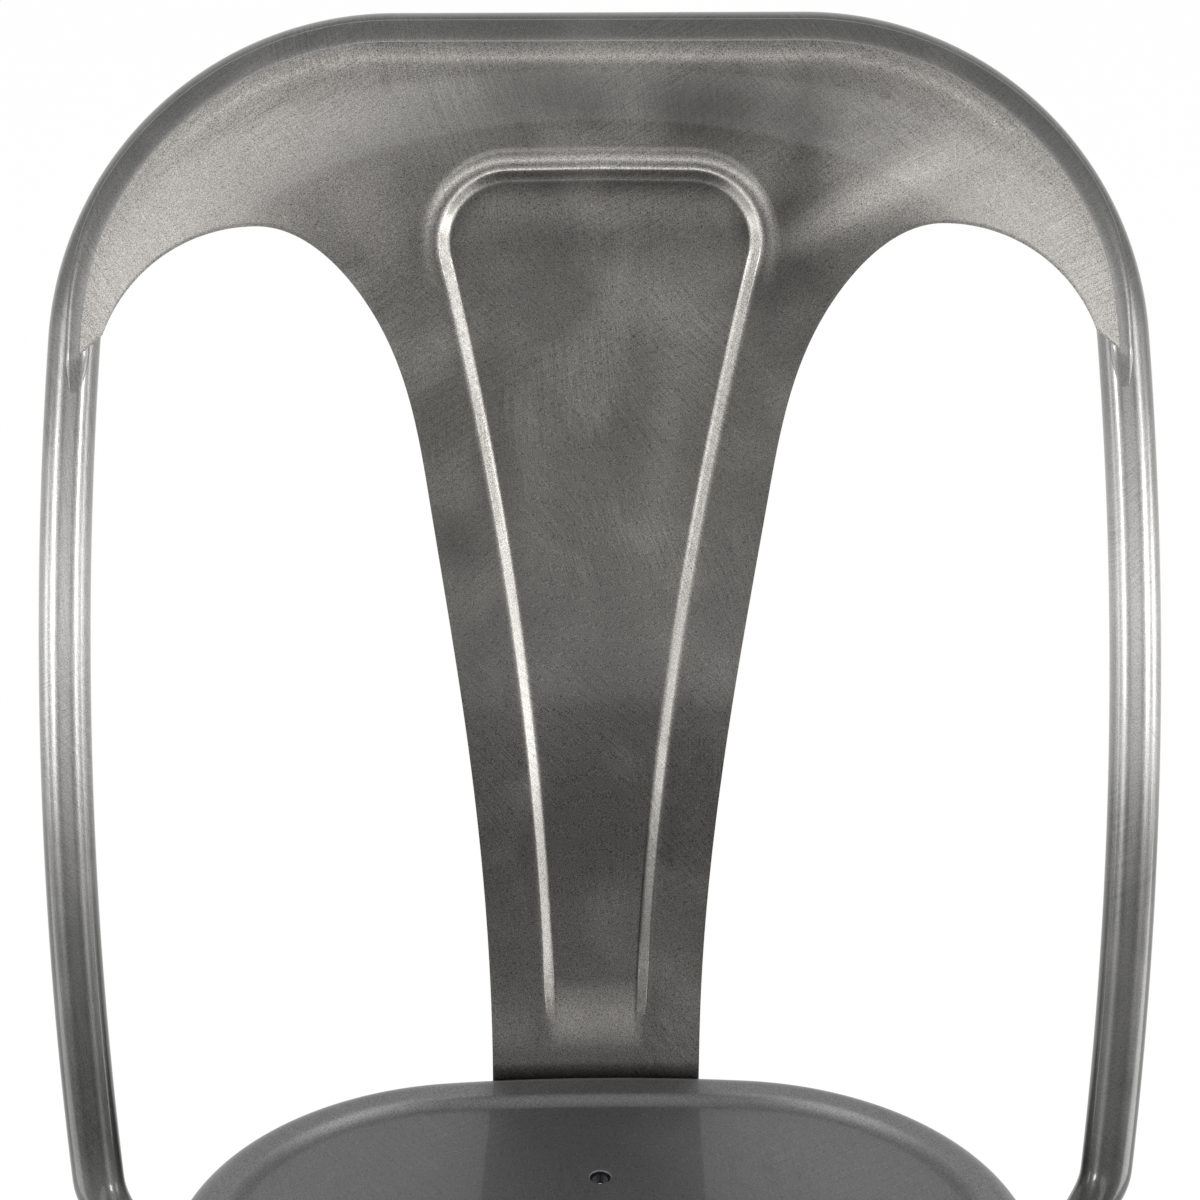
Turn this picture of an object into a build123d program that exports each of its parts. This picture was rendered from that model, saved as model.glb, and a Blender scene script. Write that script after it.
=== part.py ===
from build123d import *
import math
import os

# Stacking steel chair: a pressed seat pan on four gutter legs, a bent tube round the back,
# and one dished steel sheet that fills the top of the tube and runs down as a splat.
# Millimetres. Z is up, the sitter faces -Y, and the origin is on the floor
# under the middle of the chair's outline.

# Seat pan
SEAT_HEIGHT = 445.0
SEAT_HALF_WIDTH = 170.0
SEAT_HALF_DEPTH = 178.0
SEAT_SIDE_RADIUS = 350.0
SEAT_END_RADIUS = 600.0
SEAT_CORNER_RADIUS = 115.0
SEAT_SHEET = 1.2
SEAT_EDGE_ROUND = 8.0
SKIRT_HEIGHT = 44.0
RIM_WIDTH = 19.0
RECESS_DEPTH = 3.0
DISH_SAG = 5.0
RECESS_EDGE_ROUND = 1.2
DRAIN_DIAMETER = 7.8
DRAIN_CIRCLE_RADIUS = 113.0
DRAIN_COUNT = 4

# Back tube: one planar arch, leaning back, with both ends pressed flat
TUBE_DIAMETER = 19.0
TUBE_WALL = 1.5
BACK_LEAN = 23.0
TUBE_FOOT_SETBACK = 115.0
ARCH_HALF_WIDTH = 196.5
ARCH_WIDEST_RISE = 205.0
ARCH_TOP_RISE = 443.3
ARCH_CORNER_RADIUS = 117.5
ARCH_SIDE_RADIUS = 1640.0
FLATTEN_START_RISE = 26.0
BLADE_WIDTH = 27.0
BLADE_THICKNESS = 3.4
BLADE_TOP_DROP = 14.0
BLADE_LENGTH = 30.0

# Back sheet
PANEL_SHEET = 1.2
PANEL_SEAT_GAP = 0.3
SPLAT_TAB_HEIGHT = 36.0
SPLAT_TAB_MARGIN = 5.0
SPLAT_BEND_RISE = 25.0
SPLAT_BEND_SETBACK = 5.5
SPLAT_LOWER_RISE = 115.0
SPLAT_LOWER_SETBACK = 13.5
SPLAT_MIDDLE_RISE = 230.0
SPLAT_MIDDLE_SETBACK = 20.0
SPLAT_UPPER_RISE = 305.0
SPLAT_UPPER_SETBACK = 24.5
DISH_LOWEST_RISE = 305.0
SPLAT_FOOT_HALF_WIDTH = 40.3
SPLAT_WAIST_RISE = 180.0
SPLAT_WAIST_HALF_WIDTH = 49.4
SPLAT_NECK_RISE = 274.0
SPLAT_NECK_HALF_WIDTH = 62.9
SHOULDER_RISE = 348.5
SHOULDER_HALF_WIDTH = 85.6
WINDOW_CROWN_RISE = 376.0
WINDOW_CROWN_OFFSET = 124.6
WINDOW_OUTER_RADIUS = 59.5
HORN_EDGE_RISE = 337.0
HORN_TIP_RISE = 327.0

# Pressed field in the back sheet
FIELD_TOP_RISE = 396.0
FIELD_BOTTOM_RISE = 52.0
FIELD_TOP_HALF_WIDTH = 65.6
FIELD_BOTTOM_HALF_WIDTH = 19.0
FIELD_SIDE_RADIUS = 1500.0
FIELD_CORNER_RADIUS = 26.0
FIELD_DEPTH = 2.5
FIELD_FADE = 30.0

# Ground weld along the sheet's edge on the tube
WELD_WIDTH = 4.5
WELD_GAP = 0.05

# Legs and feet
LEG_SHEET = 1.5
LEG_TAB_HALF_WIDTH = 32.0
LEG_TAB_TOP_GAP = 12.0
LEG_BEND_DROP = 3.0
LEG_FOOT_RADIUS = 14.0
LEG_FOOT_HALF_ANGLE = 84.0
FRONT_LEG_SPLAY = 78.0
REAR_LEG_SPLAY = 96.0
CAP_DIAMETER = 40.0
CAP_TOP_DIAMETER = 36.0
CAP_HEIGHT = 26.0
CAP_SOLE = 6.0
CAP_CLEARANCE = 0.15
CAP_SLOT_END_ANGLE = 1.0

# Crossed brace under the seat
BRACE_WIDTH = 20.0
BRACE_THICKNESS = 3.0
BRACE_DROP = 82.0
BRACE_TAB = 26.0
BRACE_RIVET_DROP = 15.0
BRACE_BEND_RADIUS = 6.0

# Fasteners
RIVET_DIAMETER = 5.0
RIVET_HEAD_DIAMETER = 10.0
RIVET_HEAD_HEIGHT = 2.8
RIVET_TAIL_DIAMETER = 8.0
RIVET_TAIL_HEIGHT = 2.0
LEG_RIVET_SPACING = 36.0
BOLT_DIAMETER = 6.0
BOLT_HEAD_ACROSS = 10.0
BOLT_HEAD_HEIGHT = 4.0
NUT_HEIGHT = 5.0
BOLT_TAIL = 2.0
WASHER_DIAMETER = 12.0
WASHER_THICKNESS = 1.6
HOLE_CLEARANCE = 0.4
SEATING_GAP = 0.1
BLADE_BOLT_SPACING = 15.0
SPLAT_BOLT_SPACING = 44.0

os.makedirs("parts", exist_ok=True)


# Shared geometry

def unit(x, y):
    length = math.hypot(x, y)
    return (x / length, y / length)


def meeting_point(centre_a, radius_a, centre_b, radius_b):
    # Upper right crossing of two circles
    ax, ay = centre_a
    dx, dy = centre_b[0] - ax, centre_b[1] - ay
    span = math.hypot(dx, dy)
    along = (radius_a ** 2 - radius_b ** 2 + span ** 2) / (2 * span)
    across = math.sqrt(radius_a ** 2 - along ** 2)
    foot = (ax + along * dx / span, ay + along * dy / span)
    crossings = [
        (foot[0] + side * across * dy / span, foot[1] - side * across * dx / span)
        for side in (1, -1)
    ]
    return max(crossings, key=lambda point: point[0] + point[1])


side_centre_x = SEAT_HALF_WIDTH - SEAT_SIDE_RADIUS
end_centre_y = SEAT_HALF_DEPTH - SEAT_END_RADIUS
corner_centre = meeting_point(
    (side_centre_x, 0), SEAT_SIDE_RADIUS - SEAT_CORNER_RADIUS,
    (0, end_centre_y), SEAT_END_RADIUS - SEAT_CORNER_RADIUS,
)
corner_reach = math.hypot(*corner_centre)
diagonal = unit(*corner_centre)

lean_sin = math.sin(math.radians(BACK_LEAN))
lean_cos = math.cos(math.radians(BACK_LEAN))
tube_radius = TUBE_DIAMETER / 2

# The outline's rearmost point is on the top tube, its foremost one on the front feet
skirt_bottom = SEAT_HEIGHT - SKIRT_HEIGHT
leg_wall_radius = SEAT_CORNER_RADIUS - SEAT_SHEET
leg_crown_top = corner_reach + leg_wall_radius
front_foot_reach = leg_crown_top + FRONT_LEG_SPLAY - LEG_FOOT_RADIUS
arch_foot_from_seat = SEAT_HALF_DEPTH - TUBE_FOOT_SETBACK
rear_most = arch_foot_from_seat + ARCH_TOP_RISE * lean_sin + tube_radius
front_most = front_foot_reach * diagonal[1] + CAP_DIAMETER / 2
seat_y = (front_most - rear_most) / 2
arch_foot_y = seat_y + arch_foot_from_seat

arch_plane = Plane(
    origin=(0, arch_foot_y, SEAT_HEIGHT), x_dir=(1, 0, 0), z_dir=(0, -lean_cos, lean_sin)
)


def on_arch(across, rise, behind):
    return Vector(
        across,
        arch_foot_y + rise * lean_sin + behind * lean_cos,
        SEAT_HEIGHT + rise * lean_cos - behind * lean_sin,
    )


def save(node, solids):
    shape = solids[0] if len(solids) == 1 else Compound(children=list(solids))
    export_step(shape, f"parts/{node}.step")


def mirror_x(solid):
    return mirror(solid, about=Plane.YZ)


# Fasteners, each along +Z of its plane with the outer face of the stack at zero

def rivet(place, grip):
    rim, rise = RIVET_HEAD_DIAMETER / 2, RIVET_HEAD_HEIGHT
    ball = (rim ** 2 + rise ** 2) / (2 * rise)
    half_way = math.asin(rim / ball) / 2
    head_top = SEATING_GAP + rise
    tail_face = -grip - SEATING_GAP
    profile = Polyline(
        (0, head_top), (0, tail_face - RIVET_TAIL_HEIGHT),
        (RIVET_TAIL_DIAMETER / 2, tail_face - RIVET_TAIL_HEIGHT),
        (RIVET_TAIL_DIAMETER / 2, tail_face), (RIVET_DIAMETER / 2, tail_face),
        (RIVET_DIAMETER / 2, SEATING_GAP), (rim, SEATING_GAP),
    )
    crown = (ball * math.sin(half_way), head_top - ball * (1 - math.cos(half_way)))
    dome = ThreePointArc((rim, SEATING_GAP), crown, (0, head_top))
    face = make_face(Plane.XZ * (profile + dome))
    return place * revolve(face, axis=Axis.Z)


def bolt(place, grip):
    head = extrude(RegularPolygon(BOLT_HEAD_ACROSS / 2, 6, major_radius=False), BOLT_HEAD_HEIGHT)
    reach = grip + WASHER_THICKNESS + NUT_HEIGHT + BOLT_TAIL + 3 * SEATING_GAP
    shank = Pos(0, 0, -reach) * extrude(Circle(BOLT_DIAMETER / 2), reach)
    return place * (Pos(0, 0, SEATING_GAP) * head + Pos(0, 0, SEATING_GAP) * shank)


def washer(place, grip):
    ring = Circle(WASHER_DIAMETER / 2) - Circle((BOLT_DIAMETER + HOLE_CLEARANCE) / 2)
    return place * Pos(0, 0, -grip - SEATING_GAP - WASHER_THICKNESS) * extrude(ring, WASHER_THICKNESS)


def nut(place, grip):
    hexagon = RegularPolygon(BOLT_HEAD_ACROSS / 2, 6, major_radius=False)
    body = extrude(hexagon - Circle(BOLT_DIAMETER / 2 + WELD_GAP), NUT_HEIGHT)
    depth = grip + WASHER_THICKNESS + NUT_HEIGHT + 2 * SEATING_GAP
    return place * Pos(0, 0, -depth) * body


def drill(place, diameter, reach):
    return place * Cylinder(diameter / 2, 2 * reach)


# Places of the fasteners

def tangent_plane(point, outward):
    return Plane(origin=point, x_dir=(0, 0, 1), z_dir=outward)


def corner_plane(side_x, side_y, angle, height):
    # Skirt's outer face at a seat corner, turned by an angle from the leg's centre line
    middle = math.atan2(diagonal[1], diagonal[0]) + angle
    out = (math.cos(middle), math.sin(middle))
    x = corner_centre[0] + SEAT_CORNER_RADIUS * out[0]
    y = corner_centre[1] + SEAT_CORNER_RADIUS * out[1]
    return tangent_plane((side_x * x, seat_y + side_y * y, height), (side_x * out[0], side_y * out[1], 0))


def side_plane(side_x, y_from_seat, height):
    swing = math.asin(y_from_seat / SEAT_SIDE_RADIUS)
    x = side_centre_x + SEAT_SIDE_RADIUS * math.cos(swing)
    outward = (side_x * math.cos(swing), math.sin(swing), 0)
    return tangent_plane((side_x * x, seat_y + y_from_seat, height), outward)


def rear_plane(x, height, standoff):
    swing = math.asin(x / SEAT_END_RADIUS)
    reach = SEAT_END_RADIUS + standoff
    y = seat_y + end_centre_y + reach * math.cos(swing)
    return tangent_plane((reach * math.sin(swing), y, height), (math.sin(swing), math.cos(swing), 0))


def blade_plane(side):
    # Outer face of the tube's pressed end, at its upper edge: X runs down it, Z points outward
    middle_drop = BLADE_TOP_DROP + BLADE_LENGTH / 2 * lean_cos
    y_from_seat = arch_foot_from_seat - middle_drop * lean_sin / lean_cos
    skirt = side_plane(side, y_from_seat, SEAT_HEIGHT - middle_drop)
    outward = skirt.z_dir
    tube_down = arch_plane.y_dir * -1
    down = (tube_down - outward * tube_down.dot(outward)).normalized()
    top = skirt.origin + outward * (SEATING_GAP + BLADE_THICKNESS) - down * (BLADE_LENGTH / 2)
    return Plane(origin=top, x_dir=down, z_dir=outward)


blade_stack = SEATING_GAP + BLADE_THICKNESS
blade_bolt_places = [
    blade_plane(side) * Pos(BLADE_LENGTH / 2 + end * BLADE_BOLT_SPACING / 2, 0, 0)
    for side in (-1, 1) for end in (-1, 1)
]

splat_stack = PANEL_SEAT_GAP + PANEL_SHEET
splat_bolt_height = SEAT_HEIGHT - SPLAT_TAB_HEIGHT / 2 - SPLAT_TAB_MARGIN
splat_bolt_places = [
    rear_plane(side * SPLAT_BOLT_SPACING / 2, splat_bolt_height, splat_stack) * Pos(0, 0, SEATING_GAP)
    for side in (-1, 1)
]

leg_tab_top = SEAT_HEIGHT - LEG_TAB_TOP_GAP
leg_rivet_height = (leg_tab_top + skirt_bottom) / 2
leg_rivet_angle = LEG_RIVET_SPACING / 2 / SEAT_CORNER_RADIUS
leg_rivet_places = [
    corner_plane(side_x, side_y, swing * leg_rivet_angle, leg_rivet_height)
    for side_x in (-1, 1) for side_y in (-1, 1) for swing in (-1, 1)
]


# Seat pan: a deep drawn sheet with a rounded edge, a sunk and slightly dished field, and a skirt

def seat_outline(inset):
    # Four large circles bound the plan, and their corners are rounded
    sides = [
        Pos(side * side_centre_x, seat_y) * Circle(SEAT_SIDE_RADIUS - inset) for side in (-1, 1)
    ]
    ends = [
        Pos(0, seat_y + side * end_centre_y) * Circle(SEAT_END_RADIUS - inset) for side in (-1, 1)
    ]
    plan = sides[0] & sides[1] & ends[0] & ends[1]
    return fillet(plan.vertices(), SEAT_CORNER_RADIUS - inset)


def pressed_block(inset, top, bottom, edge_round, field_inset, field_round, ball_radius):
    block = Pos(0, 0, bottom) * extrude(seat_outline(inset), top - bottom)
    block = fillet(block.edges().group_by(Axis.Z)[-1], edge_round)
    field_edge = SEAT_HALF_DEPTH - RIM_WIDTH
    ball_height = SEAT_HEIGHT - RECESS_DEPTH + math.sqrt(dish_radius ** 2 - field_edge ** 2)
    well = Pos(0, 0, bottom) * extrude(seat_outline(field_inset), 2 * SKIRT_HEIGHT)
    bowl = Pos(0, seat_y, ball_height) * Sphere(ball_radius)
    block = block - (well & bowl)
    rim = [edge for edge in block.edges() if abs(edge.center().Z - top) < 0.01 and edge.length > 1]
    return fillet(rim, field_round) if field_round else block


dish_radius = ((SEAT_HALF_DEPTH - RIM_WIDTH) ** 2 + DISH_SAG ** 2) / (2 * DISH_SAG)
outer_block = pressed_block(
    0, SEAT_HEIGHT, skirt_bottom, SEAT_EDGE_ROUND, RIM_WIDTH, RECESS_EDGE_ROUND, dish_radius
)
inner_block = pressed_block(
    SEAT_SHEET, SEAT_HEIGHT - SEAT_SHEET, skirt_bottom - SEAT_SHEET, SEAT_EDGE_ROUND - SEAT_SHEET,
    RIM_WIDTH - SEAT_SHEET, 0, dish_radius + SEAT_SHEET,
)
seat_pan = outer_block - inner_block
for turn in range(DRAIN_COUNT):
    swing = 2 * math.pi * turn / DRAIN_COUNT
    spot = (DRAIN_CIRCLE_RADIUS * math.sin(swing), seat_y + DRAIN_CIRCLE_RADIUS * math.cos(swing))
    seat_pan -= Pos(spot[0], spot[1], SEAT_HEIGHT) * Cylinder(DRAIN_DIAMETER / 2, SKIRT_HEIGHT)
bolt_hole = BOLT_DIAMETER + HOLE_CLEARANCE
rivet_hole = RIVET_DIAMETER + HOLE_CLEARANCE / 2
for place in blade_bolt_places + splat_bolt_places:
    seat_pan -= drill(place, bolt_hole, WASHER_DIAMETER)
for place in leg_rivet_places:
    seat_pan -= drill(place, rivet_hole, WASHER_DIAMETER)
save("seat_pan", [seat_pan])

# Back tube: straight top, round corners and slightly bowed sides, all in the arch plane

side_bow_centre = (ARCH_HALF_WIDTH - ARCH_SIDE_RADIUS, ARCH_WIDEST_RISE)
corner_rise = ARCH_TOP_RISE - ARCH_CORNER_RADIUS
corner_span = ARCH_SIDE_RADIUS - ARCH_CORNER_RADIUS
corner_across = side_bow_centre[0] + math.sqrt(corner_span ** 2 - (corner_rise - ARCH_WIDEST_RISE) ** 2)
corner_swing = math.degrees(math.asin((corner_rise - ARCH_WIDEST_RISE) / corner_span))


def bow_angle(rise):
    return math.degrees(math.asin((rise - ARCH_WIDEST_RISE) / ARCH_SIDE_RADIUS))


def arch_half_width(rise):
    # Tube's centre line at a height up the arch plane
    if rise > corner_rise + ARCH_CORNER_RADIUS * math.sin(math.radians(corner_swing)):
        drop = min(rise, ARCH_TOP_RISE) - corner_rise
        return corner_across + math.sqrt(ARCH_CORNER_RADIUS ** 2 - drop ** 2)
    return side_bow_centre[0] + math.sqrt(ARCH_SIDE_RADIUS ** 2 - (rise - ARCH_WIDEST_RISE) ** 2)


def arch_line(start_rise):
    # Centre line from the right foot over the top to the left foot, in the arch plane
    start = bow_angle(start_rise)
    corner_x, bow_x = corner_across, side_bow_centre[0]
    right = [
        CenterArc(side_bow_centre, ARCH_SIDE_RADIUS, start, corner_swing - start),
        CenterArc((corner_x, corner_rise), ARCH_CORNER_RADIUS, corner_swing, 90 - corner_swing),
    ]
    left = [
        CenterArc((-corner_x, corner_rise), ARCH_CORNER_RADIUS, 90, 90 - corner_swing),
        CenterArc((-bow_x, ARCH_WIDEST_RISE), ARCH_SIDE_RADIUS, 180 - corner_swing, corner_swing - start),
    ]
    top = Line((corner_x, ARCH_TOP_RISE), (-corner_x, ARCH_TOP_RISE))
    return right + [top] + left


def sweep_arch(start_rise, section):
    path = arch_plane * Wire(arch_line(start_rise))
    start = path @ 0
    plane = Plane(origin=start, x_dir=arch_plane.z_dir, z_dir=path % 0)
    return sweep(plane * section, path=path)


def oval(plane, width, thickness, flat):
    # Round tube section, or the same tube pressed to a flat bar with round edges
    half, rise = width / 2, thickness / 2
    corner = (half - rise, rise) if flat else (half * math.sqrt(0.5), rise * math.sqrt(0.5))
    x, y = corner
    right = ThreePointArc((x, -y), (half, 0), (x, y))
    left = ThreePointArc((-x, y), (-half, 0), (-x, -y))
    top = Line((x, y), (-x, y)) if flat else ThreePointArc((x, y), (0, rise), (-x, y))
    bottom = Line((-x, -y), (x, -y)) if flat else ThreePointArc((-x, -y), (0, -rise), (x, -y))
    return plane * Face(Wire([right, top, left, bottom]))


def pressed_end():
    # Right foot of the tube: round above, pressed flat against the seat's skirt below
    swing = math.radians(bow_angle(FLATTEN_START_RISE))
    down_in_plane = (math.sin(swing), -math.cos(swing))
    round_centre = on_arch(arch_half_width(FLATTEN_START_RISE), FLATTEN_START_RISE, 0)
    above = on_arch(arch_half_width(FLATTEN_START_RISE) - down_in_plane[0],
                    FLATTEN_START_RISE - down_in_plane[1], 0)
    tube_down = (round_centre - above).normalized()
    face = blade_plane(1)
    blade_down, outward = face.x_dir, face.z_dir
    across = blade_down.cross(outward)
    blade_top = face.origin - outward * (BLADE_THICKNESS / 2)
    round_plane = Plane(origin=round_centre, x_dir=across - tube_down * across.dot(tube_down), z_dir=tube_down)
    flat_plane = Plane(origin=blade_top, x_dir=across, z_dir=blade_down)
    lead = BLADE_THICKNESS
    stations = [
        (round_plane, TUBE_DIAMETER, TUBE_DIAMETER, False),
        (round_plane.offset(lead), TUBE_DIAMETER, TUBE_DIAMETER, False),
        (flat_plane.offset(-lead), BLADE_WIDTH, BLADE_THICKNESS, True),
        (flat_plane, BLADE_WIDTH, BLADE_THICKNESS, True),
    ]
    skin = loft([oval(*station) for station in stations])
    bore = loft([
        oval(round_plane, TUBE_DIAMETER - 2 * TUBE_WALL, TUBE_DIAMETER - 2 * TUBE_WALL, False),
        oval(flat_plane.offset(-2 * lead), BLADE_WIDTH - 2 * TUBE_WALL, SEATING_GAP * 4, True),
    ])
    blade = extrude(oval(flat_plane, BLADE_WIDTH, BLADE_THICKNESS, True), BLADE_LENGTH)
    tongue = Plane(origin=blade_top, x_dir=blade_down, z_dir=outward) * Pos(BLADE_LENGTH / 2, 0, 0)
    trim = tongue * Pos(-BLADE_WIDTH / 2, 0, 0) * Box(BLADE_LENGTH, BLADE_WIDTH, BLADE_WIDTH) + (
        tongue * Pos(BLADE_LENGTH / 2 - BLADE_WIDTH / 2, 0, 0) * Cylinder(BLADE_WIDTH / 2, BLADE_WIDTH)
    )
    return skin - bore + (blade & trim)


tube_ring = Circle(tube_radius) - Circle(tube_radius - TUBE_WALL)
right_end = pressed_end()
back_tube = sweep_arch(FLATTEN_START_RISE, tube_ring) + right_end + mirror_x(right_end)
for place in blade_bolt_places:
    back_tube -= drill(place, bolt_hole, WASHER_DIAMETER)
save("back_tube", [back_tube])

# Back sheet: dished between the sides of the arch, then narrowing to a splat that is
# bolted behind the seat's skirt

sheet_front_at_tube = tube_radius + PANEL_SEAT_GAP + PANEL_SHEET
splat_foot_from_arch = TUBE_FOOT_SETBACK + PANEL_SEAT_GAP


def splat_point(setback, rise):
    # Side profile, from set back and height above the seat's rear edge to arch coordinates
    y, z = splat_foot_from_arch + setback, rise
    return Vector(y * lean_sin + z * lean_cos, y * lean_cos - z * lean_sin)


tab_bottom = splat_point(0, -SPLAT_TAB_HEIGHT - SPLAT_TAB_MARGIN)
tab_top = splat_point(0, -SPLAT_TAB_MARGIN)
splat_line = Spline(
    tab_top,
    splat_point(SPLAT_BEND_SETBACK, SPLAT_BEND_RISE),
    splat_point(SPLAT_LOWER_SETBACK, SPLAT_LOWER_RISE),
    splat_point(SPLAT_MIDDLE_SETBACK, SPLAT_MIDDLE_RISE),
    splat_point(SPLAT_UPPER_SETBACK, SPLAT_UPPER_RISE),
    Vector(ARCH_TOP_RISE, -sheet_front_at_tube),
    tangents=[(tab_top - tab_bottom).normalized(), (1, 0)],
)


def dish_depth(rise, behind):
    # How far the middle of the sheet lies behind its edges, at a height up the arch plane
    if rise >= DISH_LOWEST_RISE:
        return behind + sheet_front_at_tube
    share = max(rise - tab_top.X, 0) / (DISH_LOWEST_RISE - tab_top.X)
    foot = arch_half_width(DISH_LOWEST_RISE) ** 2 / (3 * SEAT_END_RADIUS)
    return foot + (dish_at_lowest - foot) * share


def sunk(rise):
    # Depth of the pressed field, which runs out towards the seat
    share = min(max((rise - FIELD_BOTTOM_RISE) / FIELD_FADE, 0), 1)
    return FIELD_DEPTH * share * share * (3 - 2 * share)


ROW_STEPS = 20
PROFILE_STEPS = 40
profile = [splat_line @ (step / PROFILE_STEPS) for step in range(PROFILE_STEPS + 1)]
dish_at_lowest = sheet_front_at_tube + min(profile, key=lambda p: abs(p.X - DISH_LOWEST_RISE)).Y


def sheet_skin(push):
    # Front face of the sheet, pushed back by an amount that depends on the height
    rows = []
    for point in [tab_bottom, (tab_bottom + tab_top) / 2] + profile:
        half = arch_half_width(point.X)
        depth = dish_depth(point.X, point.Y)
        row = []
        for step in range(-ROW_STEPS, ROW_STEPS + 1):
            across = step / ROW_STEPS * (ARCH_HALF_WIDTH + tube_radius)
            inside = max(1 - (across / half) ** 2, 0)
            behind = point.Y - depth * (1 - inside ** 1.5)
            row.append(on_arch(across, point.X, behind + push(point.X)))
        rows.append(row)
    return Face.make_surface_from_array_of_points(rows, tol=0.05, min_deg=3, max_deg=5)


def window_edge(side):
    # Lower edge of the sheet on one side: tab, splat, window crown and horn
    def at(across, rise):
        return (side * across, rise)
    foot = at(SPLAT_FOOT_HALF_WIDTH, tab_top.X)
    crown = at(WINDOW_CROWN_OFFSET, WINDOW_CROWN_RISE)
    splat = Spline(
        foot, at(SPLAT_WAIST_HALF_WIDTH, SPLAT_WAIST_RISE), at(SPLAT_NECK_HALF_WIDTH, SPLAT_NECK_RISE),
        at(SHOULDER_HALF_WIDTH, SHOULDER_RISE), crown, tangents=[(0, 1), (side, 0)],
    )
    spring = WINDOW_CROWN_RISE - WINDOW_OUTER_RADIUS
    lean = math.sqrt(0.5) * WINDOW_OUTER_RADIUS
    reach = math.sqrt(WINDOW_OUTER_RADIUS ** 2 - (HORN_EDGE_RISE - spring) ** 2)
    inner = at(WINDOW_CROWN_OFFSET + reach, HORN_EDGE_RISE)
    arc = ThreePointArc(crown, at(WINDOW_CROWN_OFFSET + lean, spring + lean), inner)
    tip = at(arch_half_width(HORN_TIP_RISE), HORN_TIP_RISE)
    tab = Line(at(SPLAT_FOOT_HALF_WIDTH, tab_bottom.X), foot)
    return [tab, splat, arc, Line(inner, tip)]


def field_outline(inset):
    top, bottom = FIELD_TOP_RISE - inset, FIELD_BOTTOM_RISE
    wide, narrow = FIELD_TOP_HALF_WIDTH - inset, FIELD_BOTTOM_HALF_WIDTH - inset
    right = RadiusArc((narrow, bottom), (wide, top), FIELD_SIDE_RADIUS)
    left = RadiusArc((-wide, top), (-narrow, bottom), FIELD_SIDE_RADIUS)
    edges = [right, Line((wide, top), (-wide, top)), left, Line((-narrow, bottom), (narrow, bottom))]
    face = Face(Wire(edges))
    corners = face.vertices().group_by(Axis.Y)[-1]
    return fillet(corners, FIELD_CORNER_RADIUS - inset)


def prism(face):
    return extrude(arch_plane * face, 2 * TUBE_FOOT_SETBACK, both=True)


backward = Vector(arch_plane.z_dir) * -1


def pressed(skin, region, thickness):
    return extrude((skin & region).faces()[0], thickness, dir=backward)


right_edge, left_edge = window_edge(1), window_edge(-1)
foot_line = Line(left_edge[0] @ 0, right_edge[0] @ 0)
sheet_outline = Face(Wire([foot_line] + right_edge + arch_line(HORN_TIP_RISE) + left_edge))
field = prism(field_outline(0))
field_wall = field - prism(field_outline(PANEL_SHEET))
flat_skin = sheet_skin(lambda rise: 0)
sunk_skin = sheet_skin(sunk)
sunk_middle = Pos(*(backward * (PANEL_SHEET / 2))) * sunk_skin
step_wall = pressed(flat_skin, field_wall, PANEL_SHEET + FIELD_DEPTH)
step_wall -= pressed(sunk_middle, prism(field_outline(-PANEL_SHEET)), 2 * FIELD_DEPTH)
back_sheet = pressed(sunk_skin, field, PANEL_SHEET) + step_wall
back_sheet = pressed(flat_skin, prism(sheet_outline) - field, PANEL_SHEET) + back_sheet
for place in splat_bolt_places:
    back_sheet -= drill(place, bolt_hole, WASHER_DIAMETER)
save("back_sheet", [back_sheet])

# Weld along the sheet's edge, ground to a smooth run on to the tube

weld_seat = tube_radius + WELD_GAP
weld_toe = (math.sqrt(weld_seat ** 2 - WELD_WIDTH ** 2), WELD_WIDTH)
weld_middle = (math.sqrt(weld_seat ** 2 - (WELD_WIDTH / 2) ** 2), WELD_WIDTH / 2)
weld_root = (math.sqrt(weld_seat ** 2 - WELD_GAP ** 2), WELD_GAP)
weld_face = make_face(
    Line((sheet_front_at_tube, WELD_GAP), weld_root)
    + ThreePointArc(weld_root, weld_middle, weld_toe)
    + Line(weld_toe, (sheet_front_at_tube, WELD_GAP))
)
weld = sweep_arch(HORN_TIP_RISE, weld_face)
save("sheet_edge_weld", [weld])

# Legs: one pressed gutter at each seat corner, riveted inside the skirt

leg_bend_height = skirt_bottom - LEG_BEND_DROP
leg_crown_drop = leg_bend_height - CAP_HEIGHT


def corner_frame(side_x, side_y):
    out = (side_x * diagonal[0], side_y * diagonal[1], 0)
    return Plane(origin=(0, seat_y, 0), x_dir=out, z_dir=(0, 0, 1))


def gutter(crown, radius, half_angle, outset):
    # Band of sheet bent round a vertical axis, its crown at a distance from the seat's centre
    centre = crown - radius
    outer, inner = radius + outset, radius - LEG_SHEET - outset
    tilt = math.radians(half_angle)

    def at(size, share):
        return (centre + size * math.cos(tilt * share), size * math.sin(tilt * share))
    return Face(Wire([
        ThreePointArc(at(outer, -1), at(outer, 0), at(outer, 1)),
        Line(at(outer, 1), at(inner, 1)),
        ThreePointArc(at(inner, 1), at(inner, 0), at(inner, -1)),
        Line(at(inner, -1), at(outer, -1)),
    ]))


leg_crown = leg_crown_top - SEATING_GAP
leg_tab_radius = leg_wall_radius - SEATING_GAP
leg_tab_angle = math.degrees(math.asin(LEG_TAB_HALF_WIDTH / leg_tab_radius))


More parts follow.
